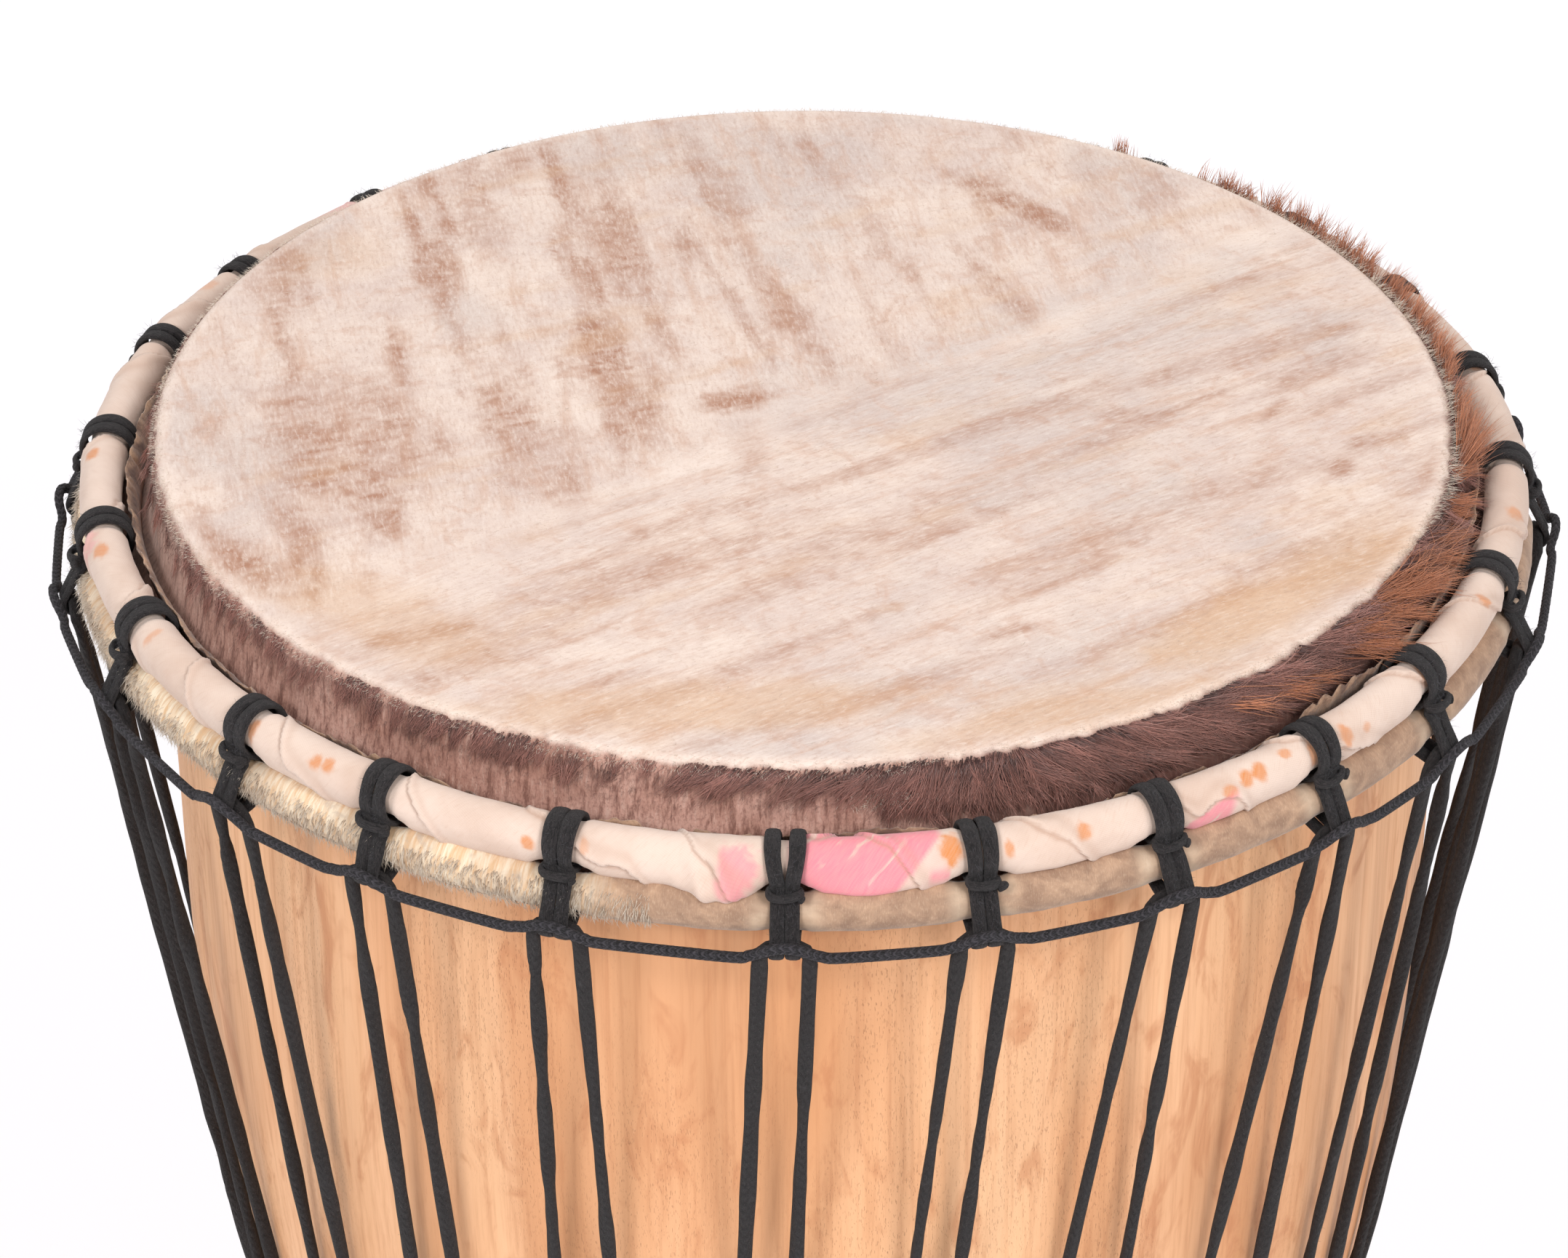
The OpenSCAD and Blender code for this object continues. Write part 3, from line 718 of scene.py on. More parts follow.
# Marks on the playing surface: x, y, half length, half width, angle of the long side, strength
BROWN_MARKS = [
    (-114, -14, 42, 24, 100, 0.55), (-124, -34, 20, 10, 95, 0.5), (-106, -46, 22, 8, 105, 0.6),
    (-74, -8, 34, 9, 98, 0.5), (-60, -30, 30, 8, 95, 0.35), (-51, 23, 9, 6, 80, 0.95),
    (-42, 8, 26, 8, 95, 0.4), (-16, 3, 13, 7, 20, 0.6), (-14, -20, 16, 6, 95, 0.4),
    (-80, 130, 18, 6, 70, 0.5), (-88, 100, 30, 10, 110, 0.3), (-55, 95, 40, 8, 100, 0.35),
    (-20, 105, 34, 7, 100, 0.35), (57, 108, 28, 6, -48, 0.6), (52, 60, 34, 4, -68, 0.4),
    (84, -7, 11, 5, -20, 0.5), (138, 38, 8, 6, 20, 0.5), (125, 12, 10, 4, 60, 0.5),
    (134, -32, 6, 3.5, 60, 0.65), (140, -19, 5, 3, 50, 0.6), (120, -2, 9, 2.5, 60, 0.5),
    (-138, -72, 26, 8, -48, 0.75), (-126, -56, 16, 6, -60, 0.5), (-92, -108, 20, 5, 20, 0.5),
    (-90, -127, 18, 4, 10, 0.4), (-45, -128, 12, 3, 25, 0.4), (48, -108, 10, 2.5, 30, 0.55),
    (20, -60, 50, 10, 34, 0.3), (80, -60, 60, 9, 36, 0.3), (-40, -80, 60, 10, 30, 0.35),
]
OCHRE_MARKS = [
    (112, -96, 62, 12, 41, 0.75), (60, -142, 50, 9, 20, 0.6), (-100, -100, 40, 16, -40, 0.5),
    (-30, -140, 80, 12, 4, 0.6), (118, -90, 50, 16, 50, 0.5), (-125, 80, 20, 14, 60, 0.3),
    (60, -135, 40, 8, 25, 0.4),
]
GREY_MARK = (60, 30, 90, 22, 38, 0.7)


def skin_marks(x, y):
    """Pigment over the playing surface, by name, and upper, which is 1 past the ridge across it."""
    warp = 0.35 * fbm(x / 16, y / 16, seed=21) + 0.2 * fbm(x / 4, y / 4, seed=22)
    ridge = (y - x * 0.80) / 1.28 + 14 * fbm(x / 50, y / 50, seed=30) + 4
    upper = smoothstep(-14, 14, ridge)
    left = smoothstep(60, -70, x)
    lines_a = streaks(x, y, 101, 46, 7, 31)
    lines_b = streaks(x, y, 35, 60, 7, 33)
    hair = streaks(x, y, 20, 9, 1.6, 35)
    brown = upper * (0.28 + 0.47 * left) * smoothstep(-0.05, 0.5, lines_a)
    brown = brown + (1 - upper) * 0.42 * smoothstep(0.0, 0.5, lines_b)
    for mark in BROWN_MARKS:
        brown = np.maximum(brown, 1.4 * blot(x, y, mark, warp) * (0.8 + 0.3 * hair))
    brown = brown * (0.85 + 0.3 * hair)
    grey = smoothstep(0.05, 0.5, fbm(x / 45, y / 45, seed=41)) * 0.6
    grey = np.maximum(grey, blot(x, y, GREY_MARK, warp))
    ochre = 0.3 * smoothstep(0.2, 0.6, streaks(x, y, 30, 30, 9, 45))
    for mark in OCHRE_MARKS:
        ochre = np.maximum(ochre, blot(x, y, mark, warp))
    pale = 0.55 * bell(ridge, -3, 7) * smoothstep(-0.5, 0.5, fbm(x / 22, y / 22, seed=51))
    pale = pale + 0.3 * smoothstep(0.25, 0.6, streaks(x, y, 98, 30, 3, 53)) * upper * left
    return dict(brown=brown, grey=grey, ochre=ochre, pale=pale, upper=upper)


def collar_edge(a):
    """How far down the collar the pale rim reaches, in mm below the playing surface."""
    ragged = 1.6 * ring_noise(a, 0, 60, seed=61, octaves=4)
    return 1.0 + 0.6 * ring_noise(a, 0, 9, seed=63) + 0.45 * ragged


def skin_rows():
    """[radius, height] of the skin's section: over the head and down its collar, then back underneath."""
    edge = np.array([HEAD_R, DRUM_H])
    flat_r = HEAD_R - EDGE_ROUND
    bend = edge - EDGE_ROUND
    radii = np.concatenate([np.linspace(0.4, flat_r - 4, 82), [flat_r - 2, flat_r]])
    flat = np.stack([radii, np.full(len(radii), DRUM_H)], -1)
    over = arc(bend, EDGE_ROUND, 82, 6, 9)
    down = edge + np.array([[0.1, -6], [0.3, -8.5], [0.6, -11], [0.9, -14], [1.4, -17], [2.1, -19.8],
                            [4.7, -23], [8.3, -26.7], [12.4, -30.8]])
    under = edge + np.array([[12.1, -31.7], [7.5, -27.8], [3.8, -24], [0.9, -20.6], [-0.9, -7]])
    back = arc(bend, EDGE_ROUND - 1.2, 6, 90, 6)
    last = np.stack([np.linspace(flat_r - 6, 0.4, 16), np.full(16, DRUM_H - 1.2)], -1)
    return np.concatenate([flat, over, down, under, back, last]), len(flat) + len(over) + len(down)


def collar_marks(A, R, depth, is_top, marks):
    """Adds the collar and its rim to the marks of the playing surface."""
    flat_r = HEAD_R - EDGE_ROUND
    rim = smoothstep(HEAD_R - 6, HEAD_R - 1.5, R)
    shaggy = ring_noise(A, R / 30, 30, seed=75)
    edge = collar_edge(A)
    collar = smoothstep(edge - 0.8, edge + 0.8, depth) * smoothstep(flat_r - 0.6, flat_r + 0.6, R) * is_top
    tuft = ring_noise(A, depth / 40, 55, seed=77) + 0.4 * ring_noise(A, 0, 9, seed=78)
    dark = collar * smoothstep(-0.2, 0.8, tuft) * smoothstep(12, 2, depth) * 0.5
    hairy = smoothstep(8, 22, around(A, 0)) * smoothstep(118, 96, around(A, 0))
    pink_side = smoothstep(-58, -80, around(A, 0)) * smoothstep(-170, -120, around(A, 0))
    pale = np.clip(marks["pale"] + rim * (0.35 + 0.5 * shaggy), 0, 1)
    return dict(marks, brown=np.clip(marks["brown"] * (1 - 0.75 * rim), 0, 1),
                grey=marks["grey"] * (1 - rim), pale=np.where(collar > 0.5, 0.0, pale),
                collar=collar * (1 - 0.3 * pink_side), dark=np.clip(dark + collar * hairy * 0.8, 0, 1))


def make_head_skin():
    """Playing surface, collar and, underneath, the skin's inner face."""
    around_n = 600
    rows, n_top = skin_rows()
    A, R = np.meshgrid(np.arange(around_n) * 360 / around_n, rows[:, 0])
    Z = np.repeat(rows[:, 1:], around_n, 1)
    depth = DRUM_H - Z
    x, y = R * np.sin(np.radians(A)), -R * np.cos(np.radians(A))
    is_top = (np.arange(len(rows)) < n_top)[:, None]
    wave = 0.12 * fbm(x / 40, y / 40, seed=71) + 0.05 * fbm(x / 9, y / 9, seed=72)
    Z = Z - np.where(is_top, 0.15, 0.1) + np.where(R < HEAD_R - EDGE_ROUND, np.minimum(wave, 0.15), 0)
    lump = 0.5 * ring_noise(A, depth / 9, 26, seed=73) * smoothstep(5, 12, depth)
    R = R + np.where(is_top, np.maximum(lump, -0.3), 0)
    b = Build()
    b.grid(place(R, A, Z), **collar_marks(A, R, depth, is_top, skin_marks(x, y)))
    inner_face = (n_top - 1) * around_n
    b.make("goat_skin_head", [SKIN, RAWHIDE], ["head_skin"], second_from=inner_face)


def make_roll():
    """Hide rolled round the flesh ring."""
    around_n, tube_n = 720, 26
    a = SEAM + np.arange(around_n) * 360 / around_n
    f = np.linspace(-205, 104, tube_n)
    A, F = np.meshgrid(a, f, indexing="ij")
    furry = smoothstep(-12, -20, around(A, 0)) * smoothstep(-175, -150, around(A, 0))
    furry = np.clip(furry * (0.85 + 0.5 * ring_noise(A, 0, 14, seed=81)), 0, 1)
    bumps = 0.35 * ring_noise(A, F / 50, 24, seed=83)
    bumps = bumps + 0.25 * ring_noise(A, F / 18, 90, seed=84) * (0.3 + furry)
    nearest = from_loop(A, FLESH_R)
    squeeze = 0.55 * smoothstep(6.5, 3.0, nearest)
    rise = 1.1 * smoothstep(5.2, 9, nearest) * bell(F, 84, 34)
    outer = FLESH_T - 0.1 + bumps - squeeze + rise
    inner = np.full_like(outer, ROD_R + 0.15)
    worn = bell(nearest, 5.6, 2.4) * (0.45 + 0.5 * ring_noise(A, F / 30, 30, seed=86))

    def there_and_back(out, back):
        return np.concatenate([out, back[:, ::-1]], 1)

    ring = there_and_back(on_tube(FLESH_R, FLESH_Z, A, F, outer), on_tube(FLESH_R, FLESH_Z, A, F, inner))
    lay = np.stack([A * math.radians(FLESH_R), np.radians(F) * FLESH_T, 0 * A], -1)
    marks = dict(lay=lay, furry=furry, worn=np.clip(worn, 0, 1))
    b = Build()
    b.grid(ring, closed=True, flip=True, **{k: there_and_back(v, v) for k, v in marks.items()})
    b.make("hide_roll", [ROLL], ["head_skin"])


def make_skin_edge():
    """The skin's cut edge, standing ragged between the collar and the crown ring."""
    around_n = 1200
    a = np.arange(around_n) * 360 / around_n
    rag = ring_noise(a, 0, 90, seed=91, octaves=4) * 2.2 + ring_noise(a, 0, 12, seed=92) * 2.4
    high = 2.4 * smoothstep(34, 46, around(a, 0)) * smoothstep(125, 105, around(a, 0))
    high = high + 1.5 * smoothstep(-55, -70, around(a, 0)) + 2.5 * bell(around(a, 6.5), 0, 3.5)
    top = np.clip(DRUM_H - 15 + high + rag * 0.75, DRUM_H - 19, DRUM_H - 8.6)
    lean = 1.2 * ring_noise(a, 0, 40, seed=93)
    foot_r, tip_r = HEAD_R + 4.2, HEAD_R + 6.6
    lines = []
    for half, order in ((0.45, 1), (-0.45, -1)):
        face = [place(foot_r + half, a, DRUM_H - 22), place(foot_r + 0.5 + half, a, DRUM_H - 18),
                place(tip_r - 1.2 + lean * 0.5 + half, a, (top + DRUM_H - 18) / 2),
                place(tip_r + lean + half * 0.4, a, top)]
        lines += face[::order]
    b = Build()
    b.grid(np.stack(lines, 1), closed=True)
    b.make("skin_cut_edge", [EDGE])


# ---------------------------------------------------------------- hair
def collar_point(a, d):
    """On the skin's outside at bearings a, d mm below the playing surface."""
    rounded = HEAD_R - EDGE_ROUND + np.sqrt(np.maximum(EDGE_ROUND ** 2 - (EDGE_ROUND - d) ** 2, 0))
    r = np.where(d < EDGE_ROUND, rounded, HEAD_R + 0.35 + 0.09 * (d - EDGE_ROUND))
    return place(r, a, DRUM_H - d)


def on_skin(a, s, lift):
    """lift mm off the skin at bearings a, s mm down along it from where its edge starts to round."""
    quarter = EDGE_ROUND * math.pi / 2
    angle = math.pi / 2 - np.clip(s, 0, quarter) / EDGE_ROUND
    past = np.maximum(s - quarter, 0)
    r = HEAD_R - EDGE_ROUND + np.minimum(s, 0) + (EDGE_ROUND + lift) * np.cos(angle) + 0.09 * past
    return place(r, a, DRUM_H - EDGE_ROUND + (EDGE_ROUND + lift) * np.sin(angle) - past)


def along_skin(depth):
    """The distance along the skin that goes with a depth below the playing surface."""
    rounded = EDGE_ROUND * np.arccos(np.clip(1 - depth / EDGE_ROUND, -1, 1))
    return np.where(depth < EDGE_ROUND, rounded, EDGE_ROUND * (math.pi / 2 - 1) + depth)


def coat(build, count, bearings, depths, lengths, way, radius, tone):
    """Hair in tufts that lies on the skin. way is [round the drum, up, out]."""
    tufts = max(1, count // 34)
    t = rng.integers(0, tufts, count)
    tuft_a, tuft_s = rng.uniform(*bearings, tufts), along_skin(rng.uniform(*depths, tufts))
    tuft_way = np.array(way) + rng.normal(0, 0.12, (tufts, 3)) * [1, 1, 0.5]
    length = rng.uniform(*lengths, tufts)[t] * rng.uniform(0.7, 1.1, count)
    off_side, off_up = rng.normal(0, 1.3, count), rng.normal(0, 1.0, count)
    a = tuft_a[t] + np.degrees(off_side / HEAD_R)
    root = np.maximum(tuft_s[t] - off_up, along_skin(collar_edge(a)) + 0.2)
    w = tuft_way[t] + rng.normal(0, 0.06, (count, 3))
    w[:, 0] -= 0.9 * off_side / length
    w[:, 1] = np.minimum(w[:, 1] - 0.9 * off_up / length, -0.06)
    w[:, 2] = np.maximum(w[:, 2], 0.06)
    w = unit(w)[:, None]
    run = length[:, None] * np.linspace(0, 1, 5)
    bend = rng.normal(0, 0.1, (count, 2))[:, None] * (run ** 2 / length[:, None])[..., None]
    side = w[..., 0] * run + bend[..., 0]
    down = root[:, None] - w[..., 1] * run + bend[..., 1]
    high = rng.uniform(0, 1.3, tufts)[t]
    lift = 0.1 + (w[..., 2] + 0.12 * high[:, None]) * run
    line = on_skin(a[:, None] + np.degrees(side / HEAD_R), down, np.maximum(lift, 0.05))
    # Tufts that stand higher off the skin are painted lighter, a painted highlight; the rest of the tone
    # differs at random.
    tone_with_lift_highlight = tone + 0.5 * (high - 0.5) + 0.3 * rng.normal(0, 1, tufts)[t] + rng.normal(0, 0.25, count)
    hair_tubes(build, line, radius * rng.uniform(0.6, 1.2, count), tone=np.clip(tone_with_lift_highlight, 0, 1))


# The hair left on the collar, thick at the front right and in tufts elsewhere. For each piece its material
# and its coats: count, bearings, depths, lengths, way, radius, tone
COLLAR_HAIR = {
    "front_hair": (HAIR_DARK, [
        (1300, (7, 16), (1.2, 6), (9, 13), (-0.4, -0.85, 0.05), 0.13, 0.0),
        (1300, (13, 21), (1.2, 6), (9, 14), (0.25, -0.9, 0.05), 0.13, 0.0),
        (2900, (18, 30), (1.2, 8), (10, 15), (0.78, -0.5, 0.06), 0.13, 0.05),
        (900, (5, 30), (8, 13), (5, 8), (0.3, -0.6, 0.2), 0.1, 0.5)]),
    "right_hair": (HAIR_DARK, [
        (4600, (27, 68), (1.2, 10), (11, 17), (0.95, -0.3, 0.06), 0.15, 0.05),
        (1500, (26, 76), (1.4, 9), (12, 19), (0.9, -0.3, 0.2), 0.13, 0.35)]),
    "russet_strands": (HAIR_RED, [
        (420, (34, 60), (2, 8), (14, 20), (0.92, -0.16, 0.26), 0.13, 0.4),
        (520, (50, 64), (1.5, 7), (16, 23), (0.85, -0.25, 0.4), 0.12, 0.6),
        (360, (62, 80), (1.5, 8), (9, 15), (0.7, -0.2, 0.6), 0.12, 0.5)]),
    "side_hair": (HAIR_DARK, [
        (3200, (62, 104), (1.4, 12), (7, 13), (0.45, -0.6, 0.2), 0.13, 0.2),
        (800, (70, 112), (2, 12), (7, 12), (0.2, -0.3, 0.45), 0.08, 1.0),
        (900, (104, 132), (5, 12), (7, 12), (0.1, -0.2, 0.5), 0.1, 0.8),
        (420, (132, 150), (6, 12), (6, 10), (0.1, -0.3, 0.4), 0.09, 0.8)]),
    "sparse_hair": (HAIR_DARK, [
        (1400, (-10, 10), (1.4, 3.6), (7, 12), (-0.72, -0.66, 0.05), 0.11, 0.08),
        (900, (-33, -22), (1.4, 3.2), (5, 8.5), (-0.4, -0.85, 0.05), 0.11, 0.1),
        (260, (-41, -37.5), (1.4, 3.4), (4, 7), (-0.3, -0.9, 0.05), 0.1, 0.15),
        (200, (-53, -49), (1.4, 4), (4, 7), (-0.2, -0.9, 0.05), 0.1, 0.15),
        (1500, (-66, -12), (1.0, 6), (4, 8), (-0.25, -0.93, 0.05), 0.07, 0.7),
        (1900, (-125, -58), (1.0, 8), (4, 8), (0.0, -0.95, 0.06), 0.07, 0.75),
        (1600, (150, 282), (2.0, 13), (4, 9), (0.2, -0.6, 0.25), 0.1, 0.45)]),
}

# Hair that stands up over the crown ring: count, bearings, depths, lengths, way, spread, tone
STANDING_TUFTS = [
    (1500, (97, 131), (3, 9), (9, 14), (0.35, 0.75, 0.62), 0.2, 0.4),
    (300, (131, 139), (3, 8), (6, 10), (0.2, 0.85, 0.5), 0.2, 0.5),
    (70, (147, 148.5), (3, 7), (6, 9.5), (0.1, 0.95, 0.3), 0.14, 0.6),
    (420, (80, 85), (4, 10), (17, 25), (0.8, 0.62, 0.36), 0.16, 0.3),
    (300, (86, 97), (3, 9), (8, 13), (0.5, 0.7, 0.4), 0.2, 0.3),
]


def make_collar_hair():
    """The coats of hair on the collar, one piece for each name."""
    for name, (material, coats) in COLLAR_HAIR.items():
        b = Build()
        for each in coats:
            coat(b, *each)
        b.make(name, [material])


def make_standing_hair():
    """Russet tufts at the right and back."""
    b = Build()
    for count, bearings, depths, lengths, way, spread, tone in STANDING_TUFTS:
        tufts = count // 16
        t = rng.integers(0, tufts, count)
        a = rng.uniform(*bearings, tufts)[t] + rng.normal(0, 0.35, count)
        down = along_skin(rng.uniform(*depths, count))
        w = np.array(way) + rng.normal(0, spread, (tufts, 3))[t] + rng.normal(0, 0.05, (count, 3))
        hairs(b, on_skin(a, down, 0.1), place(w[:, 2], a, w[:, 1], w[:, 0]),
              rng.uniform(*lengths, count) * rng.uniform(0.7, 1.0, count),
              0.13 * rng.uniform(0.6, 1.3, count), rise=-0.12, curl=rng.normal(0, 0.1, count),
              tone=np.clip(tone + rng.normal(0, 0.3, tufts)[t] + rng.normal(0, 0.3, count), 0, 1))
    b.make("standing_hair", [HAIR_RED])


def make_stubble():
    """Short hair all over the collar."""
    b = Build()
    n = 9000
    a = rng.uniform(-180, 180, n)
    d = collar_edge(a) + 0.4 + rng.uniform(0, 13, n) * rng.uniform(0.2, 1, n)
    ways = place(0.3, a, -0.9, -0.2) + rng.normal(0, 0.14, (n, 3))
    hairs(b, collar_point(a, d), ways, rng.uniform(0.8, 2.2, n), 0.07 * rng.uniform(0.7, 1.3, n), rings=2,
          curl=rng.normal(0, 0.1, n), tone=rng.uniform(0, 1, n))
    b.make("collar_stubble", [HAIR_STUBBLE])


def add_rim_fuzz(build):
    """Down on the rounded rim, longest at the right and thin where long hair starts."""
    n = 7000
    a = rng.uniform(-180, 180, n)
    right = smoothstep(50, 80, a) * smoothstep(135, 110, a)
    furred = smoothstep(6, 12, a) * smoothstep(78, 66, a)
    d = rng.uniform(0, 1, n) * (3.2 - 2.4 * furred)
    tilt = np.clip(d / EDGE_ROUND, 0, 1)
    ways = place(0.5 + tilt, a, 0.35 * (1 - 1.3 * tilt), rng.normal(0, 0.3, n)) + rng.normal(0, 0.12, (n, 3))
    lengths = rng.uniform(0.7, 1.7, n) * (1 + 1.6 * right) * (1 - 0.5 * furred)
    hairs(build, collar_point(a, d), ways, lengths, 0.05 * rng.uniform(0.7, 1.4, n), rings=3,
          curl=rng.normal(0, 0.3, n), tone=rng.uniform(0, 1, n))


def add_flakes(build):
    """Dry bits of skin caught in the hair at two places on the front."""
    n = 700
    a = np.where(rng.uniform(0, 1, n) < 0.6, rng.normal(7.5, 1.8, n), rng.normal(21.5, 1.2, n))
    ways = place(rng.normal(0, 1, n), a, rng.normal(0, 1, n), rng.normal(0, 1, n)) + place(0.8, a, 0)
    roots = on_skin(a, along_skin(rng.uniform(7.5, 11.5, n)), 0.4)
    hairs(build, roots, ways, rng.uniform(0.6, 2.0, n), 0.07, rings=3,
          curl=rng.normal(0, 0.5, n), tone=rng.uniform(0, 1, n))


def add_head_down(build):
    """Fine down that lies on the playing surface."""
    n = 4400
    r = HEAD_R * 0.96 * np.sqrt(rng.uniform(0, 1, n))
    a = rng.uniform(-180, 180, n)
    lie = np.radians(200 + 40 * fbm(r / 40, a / 30, seed=101)) + rng.normal(0, 0.35, n)
    ways = np.stack([np.cos(lie), np.sin(lie), np.full(n, 0.1)], -1)
    hairs(build, place(r, a, DRUM_H - 0.1), ways, rng.uniform(1.0, 2.6, n), 0.035 * rng.uniform(0.7, 1.3, n),
          rings=3, rise=-0.03, curl=rng.normal(0, 0.2, n), tone=rng.uniform(0, 1, n))


def make_pale_fuzz():
    b = Build()
    add_rim_fuzz(b)
    add_flakes(b)
    add_head_down(b)
    b.make("pale_skin_fuzz", [HAIR_PALE])


def make_roll_hair():
    """Golden hair on the left of the roll, lying downward."""
    b = Build()
    n = 7600
    a = rng.uniform(-150, -11, n)
    f = rng.uniform(-60, 60, n)
    out = on_tube(0, 0, a, f, 1)
    down = on_tube(0, 0, a, f - 90, 1)
    sway = place(0, a, 0, 0.5 * ring_noise(a, f / 60, 30, seed=103))
    ways = out * 0.22 + down * 0.9 + sway + rng.normal(0, 0.14, (n, 3))
    hairs(b, on_tube(FLESH_R, FLESH_Z, a, f, FLESH_T - 0.1), ways, rng.uniform(1.8, 4.2, n),
          0.1 * rng.uniform(0.7, 1.3, n), rings=3, curl=rng.normal(0, 0.12, n),
          tone=np.clip(0.55 + 0.9 * ring_noise(a, f / 40, 50, seed=104), 0, 1))
    b.make("golden_roll_hair", [HAIR_GOLD])


# ---------------------------------------------------------------- wound cloth
# Printed marks on the crown ring's strip: bearing, angle round the tube, half sizes in degrees, strength
ORANGE_MARKS = [
    (-89, 60, 0.8, 22, 0.9), (-91.5, 20, 0.9, 18, 0.7), (-74, 60, 0.9, 22, 0.8), (-45.6, 30, 0.5, 40, 0.9),
    (-38.8, 38, 0.55, 20, 0.85), (-37.6, 42, 0.5, 22, 0.85), (-20.3, 12, 0.5, 18, 0.9),
    (-16.0, 30, 0.35, 20, 0.5), (10.6, 40, 0.9, 42, 1.0), (14.9, 25, 0.35, 22, 0.8),
    (20.6, 35, 0.6, 22, 0.85), (27.2, 12, 0.4, 14, 0.6), (32.6, 30, 0.7, 14, 0.8), (34.4, 42, 0.6, 24, 0.95),
    (35.6, 44, 0.6, 26, 0.95), (38.4, 60, 0.5, 14, 0.8), (41.0, 30, 0.5, 40, 0.8), (44.2, 30, 0.6, 26, 0.8),
    (46.5, 20, 0.35, 12, 0.6), (54.6, 40, 0.6, 40, 0.7), (65.8, 55, 0.5, 24, 0.85), (79, 60, 0.8, 26, 0.7),
    (103, 70, 1.2, 30, 0.8), (-60.5, 60, 0.4, 30, 0.5), (-118, 70, 1.0, 30, 0.5), (140, 60, 1.2, 26, 0.6),
    (176, 40, 1.2, 26, 0.6), (208, 50, 1.0, 30, 0.6),
]
PINK_MARKS = [
    (-4.8, 10, 1.5, 60, 0.75), (-76.5, 20, 1.6, 40, 0.45), (150, 50, 4, 60, 0.5), (222, 40, 5, 60, 0.5),
]
# Folds that stand up from the strip: bearing, half width, angle round the tube, half size, height
FOLDS = [(4.6, 3.6, -44, 26, 2.2), (18.5, 3.2, -42, 24, 0.9)]
KNOT_AT = -6.3


def printed(A, F, marks, base, warp):
    """base with the strongest of the marks over it at each point."""
    for bearing, angle, half_a, half_f, strength in marks:
        far = np.hypot(around(A, bearing) / half_a, (F - angle) / half_f) + warp
        base = np.maximum(base, strength * smoothstep(1.3, 0.6, far))
    return base


def pink_print(A, F, warp):
    """A pink block in front with a slanted right edge, a pink triangle beside it, and faded spots."""
    a = around(A, 0)
    block = smoothstep(-1.5, -0.4, a) * smoothstep(10.4, 9.6, a) * smoothstep(-90, -70, F)
    block = block * (1 - 0.9 * smoothstep(8.6, 9.1, a + 0.026 * (40 - F)))
    tail = 0.8 * smoothstep(8.6, 9.3, a) * smoothstep(10.6, 10.3, a) * bell(F, -25, 24)
    under_slope = smoothstep(6, -6, F - (around(A, 29.4) * 15 - 22))
    triangle = 0.9 * smoothstep(28.9, 29.4, a) * smoothstep(33.6, 32.6, a) * under_slope
    return printed(A, F, PINK_MARKS, np.maximum(np.maximum(block, tail), triangle), warp)


def wound_strip(A, F, strip, ring_r, tube_r):
    """What the cloth's material needs: places along the slanting strip, and painted shade in the creases
    where each wrap overlaps the next.
    """
    along, ring = A * math.radians(ring_r), np.radians(F) * tube_r
    return dict(lay=np.stack([along * 0.55 + ring * 0.83, ring * 0.55 - along * 0.83, 0 * A], -1),
                # Painted shade along the strip's edges, where one wrap overlaps the next.
                overlap_shade=np.clip(bell(strip, 0.985, 0.02) + bell(strip, 0.1, 0.05) * 0.4, 0, 1))


def make_crown_cloth():
    """A strip wound in a spiral round the crown ring, squeezed by the loops, with a knotted end in front."""
    around_n, tube_n = 1600, 60
    wraps = 30
    a = SEAM + np.arange(around_n) * 360 / around_n
    A, F = np.meshgrid(a, 200 + np.arange(tube_n) * 360 / tube_n, indexing="ij")
    X, Y, Z = np.moveaxis(on_tube(CROWN_R, CROWN_Z, A, F, CROWN_T), -1, 0)
    wander = 0.4 * ring_noise(A, 0, 9, seed=111) + 0.12 * fbm(X / 14, Y / 14, Z / 14, seed=112)
    strip = (wraps * A / 360 + F / 360 + wander + 0.35) % 1
    step = 0.65 * (1 - smoothstep(0, 0.12, strip)) + 0.25 * (1 - strip)
    puckers = 0.3 * fbm(X / 9, Y / 9, Z / 5, seed=113) + 0.25 * fbm(X / 30, Y / 30, Z / 12, seed=114)
    nearest = from_loop(A, CROWN_R)
    squeeze = (0.75 + far_back(A)) * smoothstep(5.5, 3.2, nearest)
    R = CROWN_T - 0.85 - 0.3 * far_back(A) + step + puckers - squeeze
    down = around(F, -38)
    knot = bell(around(A, KNOT_AT), 0, 2.3)
    ridges = 0.7 * np.sin(around(A, KNOT_AT) * 3.1 + F * 0.035) * bell(down, 20, 70)
    R = R + knot * (4.2 * bell(down, -4, 34) + 1.3 * bell(down, 60, 50) + ridges)
    for bearing, half_a, angle, half_f, height in FOLDS:
        R = R + height * bell(around(A, bearing), 0, half_a) * bell(around(F, angle), 0, half_f)
    R = R + 1.55 * smoothstep(5.2, 9, nearest) * bell(around(F, -80), 0, 42)
    R = np.maximum(R, ROD_R + 0.25)
    warp = 0.55 * fbm(X / 1.7, Y / 1.7, Z / 1.7, seed=117)
    pink = pink_print(A, around(F, 0), warp)
    orange = printed(A, around(F, 0), ORANGE_MARKS, 0 * A, warp) * (1 - pink * 0.3)
    b = Build()
    b.grid(on_tube(CROWN_R, CROWN_Z, A, F, R), closed=True, flip=True, pink=np.clip(pink, 0, 1),
           orange=orange, **wound_strip(A, F, strip, CROWN_R, CROWN_T))
    b.make("crown_cloth", [CLOTH], ["crown_ring_cloth"])


